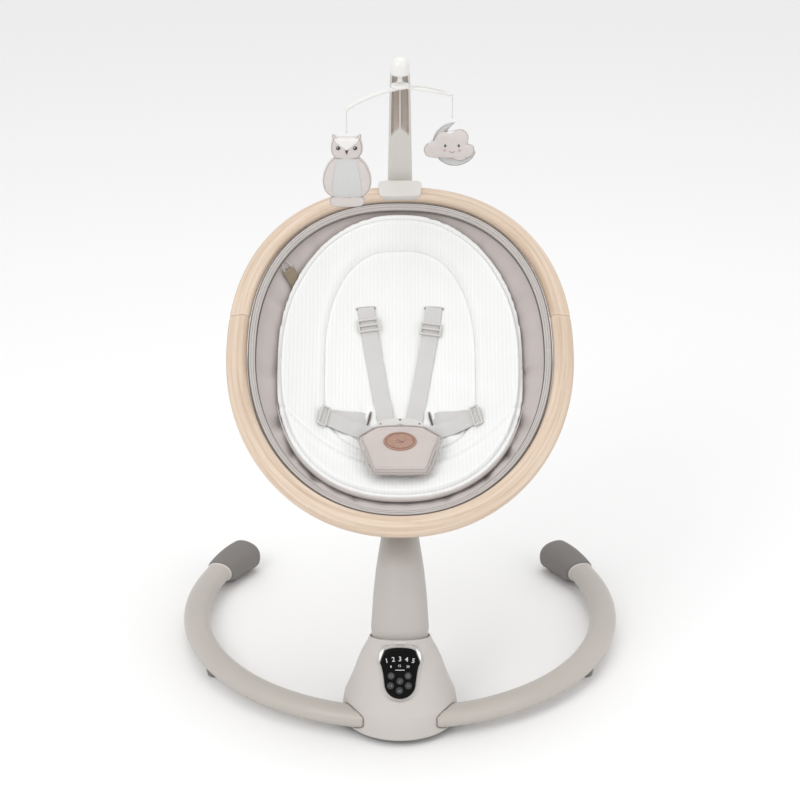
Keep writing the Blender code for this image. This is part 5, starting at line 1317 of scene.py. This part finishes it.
marks = [("ring", oval(0.0200, 0.0165, 48), True), ("wave", [(-0.007 + 0.002 * i, 0.0022 * math.sin(i * 0.9))
        for i in range(8)], False)]
marks += [("leaf", [(-0.0045 + 0.001 * i, -0.0045 + 0.0016 * math.sin(math.pi * i / 9)) for i in range(10)],
           False)]
for word, run, closed in marks:
    line = [TO_BADGE @ Vector((a, b, 0.00135)) for a, b in run]
    line += line[:2] if closed else []
    emboss = swept(f"badge_{word}", line, oval(0.00035, 0.0003, 8), emboss_brown, pad_up, caps=not closed)
    belongs(emboss, "seat", "badge_leather")

# ======== side label ========
# A small folded leather-look tag, sewn down near the rim, with a light cord loop above it.
LABEL_ANGLE = math.radians(143)
rim = egg(LABEL_ANGLE, BOWL_EDGE)
inward = (Vector((0, RING_WIDEST_S, 0)) - rim).normalized()


def wall_point(down, across, rise=0.0):
    """A point on the bowl's wall below the label's place on the rim."""
    sideways = UP.cross(inward)
    at = rim + inward * down + sideways * across
    slope = (bowl_height(*(at - inward * 0.003).to_2d()) - bowl_height(*(at + inward *
            0.003).to_2d())) / 0.006
    normal = (UP + inward * slope).normalized()
    return TO_SEAT @ (Vector((at.x, at.y, bowl_height(at.x, at.y))) + normal * rise)


rings = []
for i in range(9):
    down = 0.0150 + 0.0200 * i / 8
    ring = []
    for a, b in oval(0.0108, 0.0007, 24, 6):
        ring.append(tuple(wall_point(down, a, 0.0030 + 0.0010 * math.sin(math.pi * i / 8) + b)))
    rings.append(ring)
tag_cloth = cloth_of("tag_cloth", tone(156, 141, 118), tone(118, 104, 82), 0.0009)
label = skinned("side_tag", rings, tag_cloth)
belongs(label, "seat", "badge_leather", "side_label")
stitch_row("side_tag_stitches", [wall_point(0.0170, -0.0095 + 0.0019 * i, 0.0044) for i in range(11)],
           white_thread, "seat",
           "webbing", 0.0024, 0.0016, 0.0003)
loop = [wall_point(0.0155 - 0.0105 * math.sin(math.pi * i / 16), 0.0075 * math.cos(math.pi * i / 16), 0.0040)
        for i in range(17)]
tape = swept("side_tag_loop", loop, oval(0.0011, 0.0009, 10), webbing)
belongs(tape, "seat", "webbing")

# ======== toy bar ========
# One moulded arm in pale plastic plugs into a saddle that grips the ring's head. Its front is smooth below
# and opens
# above into a channel with a central rib, it arches over the seat, and a white dome at its tip holds the
# mobile's stem.
bar_pale = moulded("bar_pale", tone(202, 199, 194), 0.36, 1500.0, 0.00002, 0.2)
saddle_plastic = moulded("saddle_plastic", tone(210, 207, 202), 0.36, 1500.0, 0.00002, 0.2)
channel_shadow = moulded("channel_shadow", tone(184, 174, 165), 0.5, 1500.0, 0.00002, 0.1)
gloss_white = moulded("gloss_white", tone(226, 225, 222), 0.22, 1600.0, 0.00001, 0.15, coat=0.3)
rings = []
for height, across, along in ((-0.0155, 0.0290, 0.0130), (-0.0150, 0.0305, 0.0155), (-0.0120, 0.0320, 0.0164),
                              (0.0060, 0.0332, 0.0165), (0.0115, 0.0336, 0.0160), (0.0140, 0.0332, 0.0150),
                              (0.0148, 0.0318, 0.0130), (0.0150, 0.0240, 0.0090)):
    rings.append([tuple(TO_SEAT @ Vector((a, 0.298 + b, height))) for a, b in oval(across, along, 60, 7.0)])
rings = [[tuple(TO_SEAT @ Vector((p.x * (0.93 + 0.07 * (p.y - 0.280) / 0.036), p.y, p.z)))
          for p in (TO_SEAT.inverted() @ Vector(point) for point in ring)] for ring in rings]
saddle = skinned("saddle_grip", rings, saddle_plastic)
rings = []
bar_foot = SHIFT + Vector((0, 0.1950, 0.6340))
for height, across, along in ((-0.010, 0.0265, 0.0110), (0.0140, 0.0262, 0.0107), (0.0190, 0.0256, 0.0103),
                              (0.0206, 0.0246, 0.0094), (0.0210, 0.0225, 0.0080)):
    rings.append([tuple(bar_foot + Vector((a, b, height))) for a, b in oval(across, along, 56, 5.0)])
socket = skinned("saddle_socket", rings, saddle_plastic)
for made in (saddle, socket):
    belongs(made, "seat", "plastic_light")
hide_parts("head_saddle")

route = [(0.1950, 0.6340), (0.1955, 0.6800), (0.1960, 0.7150), (0.1925, 0.7500), (0.1800, 0.7860),
         (0.1565, 0.8160),
         (0.1200, 0.8420), (0.0750, 0.8640), (0.0300, 0.8820), (-0.0110, 0.8930)]
fine = [Vector((0, y, z)) for y, z in route]
for _ in range(3):
    fine = [fine[0]] + [p for a, b in zip(fine, fine[1:]) for p in (a.lerp(b, 0.25),
            a.lerp(b, 0.75))] + [fine[-1]]
run = np.concatenate([[0], np.cumsum([(b - a).length for a, b in zip(fine, fine[1:])])])
BAR_LONG, BAR_STEPS, BAR_THICK = float(run[-1]), 300, 0.013


def bar_place(along):
    """The bar's middle, its way on, and its front side, at a length from its foot."""
    at = Vector([float(np.interp(along, run, [p[k] for p in fine])) for k in range(3)])
    ahead = Vector([float(np.interp(min(along + 0.004, BAR_LONG), run, [p[k] for p in fine]))
                    for k in range(3)])
    behind = Vector([float(np.interp(max(along - 0.004, 0), run, [p[k] for p in fine])) for k in range(3)])
    way = (ahead - behind).normalized()
    return SHIFT + at, way, way.cross(Vector((-1, 0, 0))).normalized()


def channel_depth(along, share):
    """How far the front is sunk, from 0 to 1, at a length up the bar and a share of the way across."""
    start = CHANNEL_START + 0.020 * (1 - abs(share))
    return (ease((along - start) / 0.016) * ease((0.80 -
            abs(share)) / 0.07) * ease((abs(share) - 0.07) / 0.05)
            * ease((BAR_LONG - 0.006 - along) / 0.010))


CHANNEL_START = 0.092
FRONT = [-1, -0.97, -0.92, -0.86, -0.81, -0.77, -0.73, -0.70, -0.5, -0.3, -0.16, -0.12, -0.095, -0.07, -0.03]
FRONT += [-s for s in reversed(FRONT)]
rings, sunk = [], []
for i in range(BAR_STEPS + 1):
    along = BAR_LONG * i / BAR_STEPS
    at, way, front = bar_place(along)
    half = (0.040 + (0.026 - 0.040) * (along / BAR_LONG) ** 0.7) / 2
    close = math.sqrt(max(0.0,
            1 - max(0.0, (along - BAR_LONG + 0.010) / 0.010) ** 2)) if along > BAR_LONG - 0.010 else 1.0
    half *= max(close, 0.05)
    ring = []
    for s in FRONT:
        face = BAR_THICK / 2 * max(close, 0.3) * (1 - abs(s) ** 5) ** (1 / 3.4)
        ring.append(tuple(at + Vector((1, 0, 0)) * half * s + front * (face - 0.0062 * channel_depth(along,
                s))))
    for s in reversed(FRONT[1:-1]):
        face = BAR_THICK / 2 * max(close, 0.3) * (1 - abs(s) ** 5) ** (1 / 3.4)
        ring.append(tuple(at + Vector((1, 0, 0)) * half * s - front * face))
    rings.append(ring)
    sunk.append([channel_depth(along, s) for s in FRONT] + [0.0] * (len(FRONT) - 2))
bar = skinned("bar_moulding", rings, bar_pale, angle=55)
bar.data.materials.append(channel_shadow)
around = len(rings[0])
for face in bar.data.polygons:
    depths = [sunk[v // around][v % around] for v in face.vertices if v < around * len(rings)]
    if depths and sum(depths) / len(depths) > 0.35:
        face.material_index = 1
belongs(bar, "bar", "plastic_light", "toy_bar")

hub_at = SHIFT + Vector((0, -0.020, 0.872))
dome = turned("bar_dome", [(0.0118, -0.0125), (0.0129, -0.0112), (0.0134, -0.0070), (0.0135, 0.0),
        (0.0130, 0.0040),
                           (0.0115, 0.0076), (0.0090, 0.0105), (0.0060, 0.0124), (0.0030, 0.0133),
                           (0.0002, 0.0135)],
              gloss_white, Matrix.Translation(hub_at + Vector((0, 0, 0.0275))))
belongs(dome, "bar", "plastic_light")
stem = turned("stem_rod", [(0.0001, 0.0045), (0.0046, 0.0045), (0.0046, 0.0058), (0.0034, 0.0068),
        (0.0033, 0.0135),
                           (0.0033, 0.0160), (0.0001, 0.0162)], gloss_white, Matrix.Translation(hub_at))
belongs(stem, "bar", "plastic_light")

# ======== mobile arms and cords ========
# A white hub turns under the stem and carries two sprung arms: a plain round one to the left and a flat open
# loop to
# the right. A thin cord at each tip holds a toy.
MOBILE_TURN, CROSS_RADIUS, REACH, SAG = math.radians(25), 0.0032, 0.083, 0.017
arm_way = Vector((math.cos(MOBILE_TURN), math.sin(MOBILE_TURN), 0))
arm_side = UP.cross(arm_way)
hub = turned("mobile_boss", [(0.0001, -0.0044), (0.0090, -0.0044), (0.0122, -0.0032), (0.0130, -0.0006),
        (0.0124, 0.0014),
                             (0.0080, 0.0026), (0.0056, 0.0036), (0.0052, 0.0040), (0.0001, 0.0040)],
                             gloss_white,
             Matrix.Translation(hub_at))
belongs(hub, "mobile", "plastic_light", "mobile_hub")


def arm_point(reach, aside=0.0, lift_by=0.0):
    drop = SAG * (reach / REACH) ** 2 - 0.0034 * (1 - abs(reach) / REACH)
    return Vector((hub_at.x, hub_at.y, SHIFT.z + 0.8676 - CROSS_RADIUS - drop +
                   lift_by)) + arm_way * reach + arm_side * aside


arm_line = [arm_point(-REACH + (REACH - 0.004) * i / 40) for i in range(41)]
sizes = [oval(0.0031 - 0.0003 * (1 - i / 40), 0.0031 - 0.0005 * (1 - i / 40), 24, 2.3) for i in range(41)]
left_arm = swept("mobile_arm_left", arm_line, sizes, gloss_white, arm_side)
bead = turned("mobile_tip_left", [(0.0002, -0.0036), (0.0024, -0.0030), (0.0034, -0.0010), (0.0034, 0.0010),
        (0.0024, 0.0028),
                                  (0.0002, 0.0032)], gloss_white,
                                  Matrix.Translation(arm_point(-REACH + 0.0006)))
loop = []
for sign, way in ((1, range(0, 41)), (-1, range(40, -1, -1))):
    for i in way:
        share = i / 40
        width = 0.0054 * math.sin(math.pi * share) ** 0.6 if 0 < share < 1 else 0.0
        loop.append(arm_point(0.010 + (REACH - 0.010) * share, sign * width, sign * width * 0.30))
right_arm = swept("mobile_arm_right", loop, oval(0.0017, 0.0019, 16), gloss_white, UP)
tip_line = [arm_point(REACH - 0.010 + 0.0105 * i / 8) for i in range(9)]
right_tip = swept("mobile_tip_right", tip_line, [oval(0.0045 * math.sin(math.pi * (0.15 + 0.72 * i / 8)),
        0.0024, 20, 2.6)
                                                for i in range(9)], gloss_white, UP)
for made in (left_arm, bead, right_arm, right_tip):
    belongs(made, "mobile", "plastic_light")
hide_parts("mobile_crossbar")

cord_cotton = cloth_of("cord_cotton", tone(236, 235, 232), tone(206, 204, 200), 0.0006)
string_ends = {}
for node, body, word in (("owl_string", "owl_line", "owl"), ("moon_string", "moon_line", "moon")):
    low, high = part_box(node)
    x, y = (low.x + high.x) / 2, (low.y + high.y) / 2
    string_ends[word] = Vector((x, y, low.z))
    line = [Vector((x, y, high.z - (high.z - low.z) * i / 12)) for i in range(13)]
    cord = swept(f"{word}_cord", line, oval(0.0008, 0.0008, 10), cord_cotton)
    belongs(cord, body, "webbing", node)
    knot = turned(f"{word}_knot", [(0.0002, 0.0010), (0.0011, 0.0006), (0.0013, -0.0004), (0.0009, -0.0013),
            (0.0002, -0.0017)],
                  cord_cotton, Matrix.Translation(Vector((x, y, low.z + 0.0018))))
    belongs(knot, body, "webbing")

# ======== bird toy ========
# A stuffed bird: a fleece head with a white brow, grey jersey belly, two beige wings, and a fleece roll for a
# base,
# all edged with one grey running stitch. Eyes and beak are embroidered.
fleece_beige = cloth_of("fleece_beige", tone(221, 213, 209), tone(194, 185, 181), 0.0013, 0.0003, 0.05, 0.5,
        "XZ")
jersey_grey = cloth_of("jersey_grey", tone(212, 212, 211), tone(186, 187, 187), 0.0011, 0.0002, 0.04, 0.4,
        "XZ")
brow_white = cloth_of("brow_white", tone(240, 239, 237), tone(214, 212, 210), 0.0011, 0.0002, 0.03, 0.5, "XZ")
edge_thread = cloth_of("edge_thread", tone(120, 116, 118), tone(84, 80, 82), 0.0005)
ink_thread = cloth_of("ink_thread", tone(72, 70, 74), tone(48, 46, 50), 0.0005)
blush_thread = cloth_of("blush_thread", tone(206, 176, 172), tone(184, 152, 148), 0.0006)


def facing(place, out=0.0):
    """A stand whose own X runs to the right, Y up, and Z towards the front."""
    return Matrix.Translation(place + Vector((0, -out, 0))) @ Matrix.Rotation(math.radians(90), 4, "X")


def smooth_loop(corners, rounds=2):
    """Cuts an outline's corners until it runs smoothly."""
    ring = [Vector(c) for c in corners]
    for _ in range(rounds):
        ring = [p for a, b in zip(ring, ring[1:] + ring[:1]) for p in (a.lerp(b, 0.25), a.lerp(b, 0.75))]
    return [tuple(p) for p in ring]


def stuffed(name, corners, middle, stand, thick, look, body, slot_name, voxel, pressure, most):
    made = sewn_shape(name, smooth_loop(corners), middle, stand, thick, look, 0.20)
    plump(made, voxel, pressure, most)
    belongs(made, body, slot_name)
    return made


def on_face(cover, stand, x, y, rise=0.0003):
    """A point on a stuffed toy's front."""
    out = (stand.to_3x3() @ UP).normalized()
    hit = cover.ray_cast(stand @ Vector((x, y, 0.06)), -out)[0]
    return (hit + out * rise) if hit else None


def running_stitch(name, corners, cover, stand, look, body, inset, middle, closed=True, pitch=0.0026,
        long=0.0019, thick=0.00038):
    ring = inset_loop(corners, middle, inset, 140) if closed else [Vector(c) for c in corners]
    line = [p for p in (on_face(cover, stand, p[0], p[1], 0.0002) for p in ring) if p]
    return stitch_row(name, line, look, body, "toy_fabric", pitch, long, thick, closed)


def embroidered(name, corners, cover, stand, look, body, rise=0.0005):
    """A small satin-stitched shape laid on a toy's front."""
    ring = [on_face(cover, stand, a, b, rise) for a, b in corners]
    ring = [p for p in ring if p]
    out = (stand.to_3x3() @ UP).normalized()
    middle = sum(ring, Vector()) / len(ring)
    rows = [[tuple(middle.lerp(p, g) + out * h) for p in ring] for g, h in ((1.0, -0.0007), (1.0, 0.0),
            (0.8, 0.0004),
                                                                            (0.4, 0.0006), (0.02, 0.0006))]
    made = skinned(name, rows, look)
    belongs(made, body, "toy_fabric")
    return made


def both(half):
    """A closed outline from its right half, top to bottom."""
    return half + [(-x, y) for x, y in reversed(half) if x > 0]


owl_at = facing(string_ends["owl"]) @ Matrix.Diagonal((1.18, 1.06, 1.0, 1.0))
body_half = both([(0.0, -0.030), (0.0150, -0.031), (0.0235, -0.040), (0.0290, -0.054), (0.0305, -0.067),
        (0.0278, -0.080),
                  (0.0205, -0.0885), (0.0, -0.0905)])
owl_body = stuffed("bird_body", body_half, (0, -0.060), owl_at, 0.0085, fleece_beige, "owl", "toy_fabric",
        0.0034, 6.0, 0.0035)
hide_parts("owl_toy")
head_half = both([(0.0, -0.0045), (0.0100, -0.0042), (0.0140, -0.0032), (0.0176, 0.0012), (0.0186, 0.0008),
        (0.0172, -0.0070),
                  (0.0190, -0.0120), (0.0200, -0.0190),
                  (0.0188, -0.0280), (0.0140, -0.0345), (0.0, -0.0365)])
owl_head = stuffed("bird_head", head_half, (0, -0.019), owl_at @ Matrix.Translation((0, 0, 0.0004)), 0.0085,
        fleece_beige,
                   "owl", "toy_fabric", 0.0030, 5.0, 0.0028)
base_half = both([(0.0, -0.0860), (0.0185, -0.0865), (0.0222, -0.0900), (0.0225, -0.0960), (0.0190, -0.1010),
        (0.0, -0.1035)])
owl_base = stuffed("bird_base", base_half, (0, -0.0945), owl_at, 0.0070, fleece_beige, "owl", "toy_fabric",
        0.0028, 5.0, 0.0022)
belly = both([(0.0, -0.0335), (0.0115, -0.0340), (0.0140, -0.0480), (0.0165, -0.0640), (0.0175, -0.0790),
              (0.0168, -0.0870),
              (0.0, -0.0885)])
body_cover, head_cover, base_cover = cover_of(owl_body), cover_of(owl_head), cover_of(owl_base)


def patch(name, corners, cover, stand, look, body, rise=0.0008):
    """A second cloth laid over a stuffed toy and following its swell."""
    ring = even_loop(corners, 90)
    middle = sum(ring, Vector((0, 0))) / len(ring)
    rows = []
    for grow in (1.03, 1.0, 0.9, 0.75, 0.6, 0.45, 0.3, 0.15, 0.02):
        row = []
        for p in ring:
            at = middle.lerp(p, min(grow, 1.0))
            point = on_face(cover, stand, at.x, at.y, rise if grow <= 1.0 else -0.0010)
            row.append(tuple(point or stand @ Vector((at.x, at.y, 0.004))))
        rows.append(row)
    made = skinned(name, rows, look, caps=False)
    belongs(made, body, "toy_fabric")
    return made


patch("bird_belly", belly, body_cover, owl_at, jersey_grey, "owl")
patch("bird_brow", [(-0.0145, -0.0052), (0.0145, -0.0052), (0.0125, -0.0100), (0.0, -0.0210),
        (-0.0125, -0.0100)], head_cover,
      owl_at, brow_white, "owl")
running_stitch("bird_body_stitches", body_half, body_cover, owl_at, edge_thread, "owl", 0.0022, (0, -0.060))
running_stitch("bird_head_stitches", head_half, head_cover, owl_at, edge_thread, "owl", 0.0020, (0, -0.019))
running_stitch("bird_base_stitches", base_half, base_cover, owl_at, edge_thread, "owl", 0.0018, (0, -0.0945))
for sign, word in ((-1, "left"), (1, "right")):
    wing = [(sign * x, y) for x, y in ((0.0112, -0.0345), (0.0138, -0.0480), (0.0163, -0.0640),
            (0.0173, -0.0790),
                                       (0.0150, -0.0865))]
    fine_wing = [Vector(a).lerp(Vector(b), t / 8) for a, b in zip(wing, wing[1:]) for t in range(8)]
    running_stitch(f"bird_wing_seam_{word}", fine_wing, body_cover, owl_at, edge_thread, "owl", 0, (0, 0),
                   False)
    brow = [Vector((sign * 0.0150, -0.0050)).lerp(Vector((0, -0.0212)), t / 20) for t in range(21)]
    running_stitch(f"bird_brow_seam_{word}", brow, head_cover, owl_at, edge_thread, "owl", 0, (0, 0), False)
    embroidered(f"bird_eye_{word}", [(sign * 0.0102 + a, -0.0182 + b) for a, b in oval(0.0026, 0.0027, 20)],
                head_cover, owl_at,
                ink_thread, "owl")
    embroidered(f"bird_glint_{word}", [(sign * 0.0102 - 0.0008 + a, -0.0173 + b) for a,
            b in oval(0.0007, 0.0007, 12)],
                head_cover, owl_at, brow_white, "owl", 0.0012)
embroidered("bird_beak", [(-0.0019, -0.0212), (0.0, -0.0206), (0.0019, -0.0212), (0.0012, -0.0240),
        (0.0, -0.0272),
                          (-0.0012, -0.0240)], head_cover, owl_at, ink_thread, "owl")

# ======== cloud and crescent toy ========
# A beige fleece cloud sewn to a grey crescent behind it, both lightly stuffed, edged with grey running
# stitch. Two
# dot eyes, cheeks and a small smile are embroidered on the cloud.
moon_at = facing(string_ends["moon"], -0.0068) @ Matrix.Diagonal((1.13, 1.13, 1.0, 1.0))
cloud_at = facing(string_ends["moon"], 0.0068) @ Matrix.Translation((0, -0.0385, 0)) @ Matrix.Diagonal(
    (1.09, 1.17, 1.0, 1.0)) @ Matrix.Translation((0, 0.0385, 0))


def arc_run(middle, radius, start, end, steps=24):
    return [(middle[0] + radius * math.cos(math.radians(start + (end - start) * i / steps)),
             middle[1] + radius * math.sin(math.radians(start + (end - start) * i / steps)))
             for i in range(steps + 1)]


lens = []
for i in range(61):
    t = i / 60
    outer_way, inner_way = math.radians(78 + 264 * t), math.radians(102 + 224 * t)
    outer = Vector((0.004 + 0.030 * math.cos(outer_way), -0.0352 + 0.030 * math.sin(outer_way)))
    inner = Vector((0.0165 + 0.024 * math.cos(inner_way), -0.0267 + 0.024 * math.sin(inner_way)))
    middle, half = (outer + inner) / 2, max((outer - inner).length / 2, 0.0012)
    way = (outer - inner).normalized() if (outer - inner).length > 1e-5 else Vector((1, 0))
    lens.append([tuple(moon_at @ Vector((*(middle + way * half * c), s)))
                 for c, s in oval(1.0, min(0.0055, half * 0.9 + 0.0012), 28, 2.2)])
crescent_toy = skinned("crescent_toy", lens, jersey_grey, angle=180)
plump(crescent_toy, 0.0022, 5.0, 0.0015)
belongs(crescent_toy, "moon", "toy_fabric", "moon_toy")
crescent_cover = cover_of(crescent_toy)
edge = arc_run((0.004, -0.0352), 0.0280, 94, 330, 90)
running_stitch("crescent_stitches", edge, crescent_cover, moon_at, ink_thread, "moon", 0, (0, 0), False)

lobes = [((-0.024, -0.044), 0.0105, 95, 262), ((0.014, -0.040), 0.0185, 238, 305), ((0.024, -0.044), 0.0105,
        262, 395),
         ((0.014, -0.029), 0.013, 330, 495), ((-0.008, -0.031), 0.012, 55, 170)]
cloud = []
for middle, radius, start, end in lobes:
    cloud += arc_run(middle, radius, start, end, 20)
cloud = [(-0.004 + x, y) for x, y in cloud]
cloud_toy = sewn_shape("cloud_toy_cover", cloud, (0.000, -0.040), cloud_at, 0.0048, fleece_beige, 0.3, 200)
plump(cloud_toy, 0.0024, 6.0, 0.0026)
belongs(cloud_toy, "moon", "toy_fabric", "cloud_toy")
cloud_cover = cover_of(cloud_toy)
running_stitch("cloud_stitches", cloud, cloud_cover, cloud_at, edge_thread, "moon", 0.0020, (0.000, -0.040))
for sign, word in ((-1, "left"), (1, "right")):
    x = -0.0005 + sign * 0.0090
    embroidered(f"cloud_eye_{word}", [(x + a, -0.0370 + b) for a, b in oval(0.0013, 0.0019, 18)], cloud_cover,
                cloud_at,
                ink_thread, "moon")
    embroidered(f"cloud_cheek_{word}", [(x + sign * 0.0008 + a, -0.0430 + b) for a, b in oval(0.0017, 0.0012,
            18)],
                cloud_cover, cloud_at, blush_thread, "moon")
smile = [Vector((-0.0005 + 0.0040 * math.sin(t), -0.0425 - 0.0030 * math.cos(t))) for t in np.linspace(-1.15,
        1.15, 16)]
running_stitch("cloud_smile", smile, cloud_cover, cloud_at, ink_thread, "moon", 0, (0, 0), False, 0.0013,
               0.0013, 0.0003)
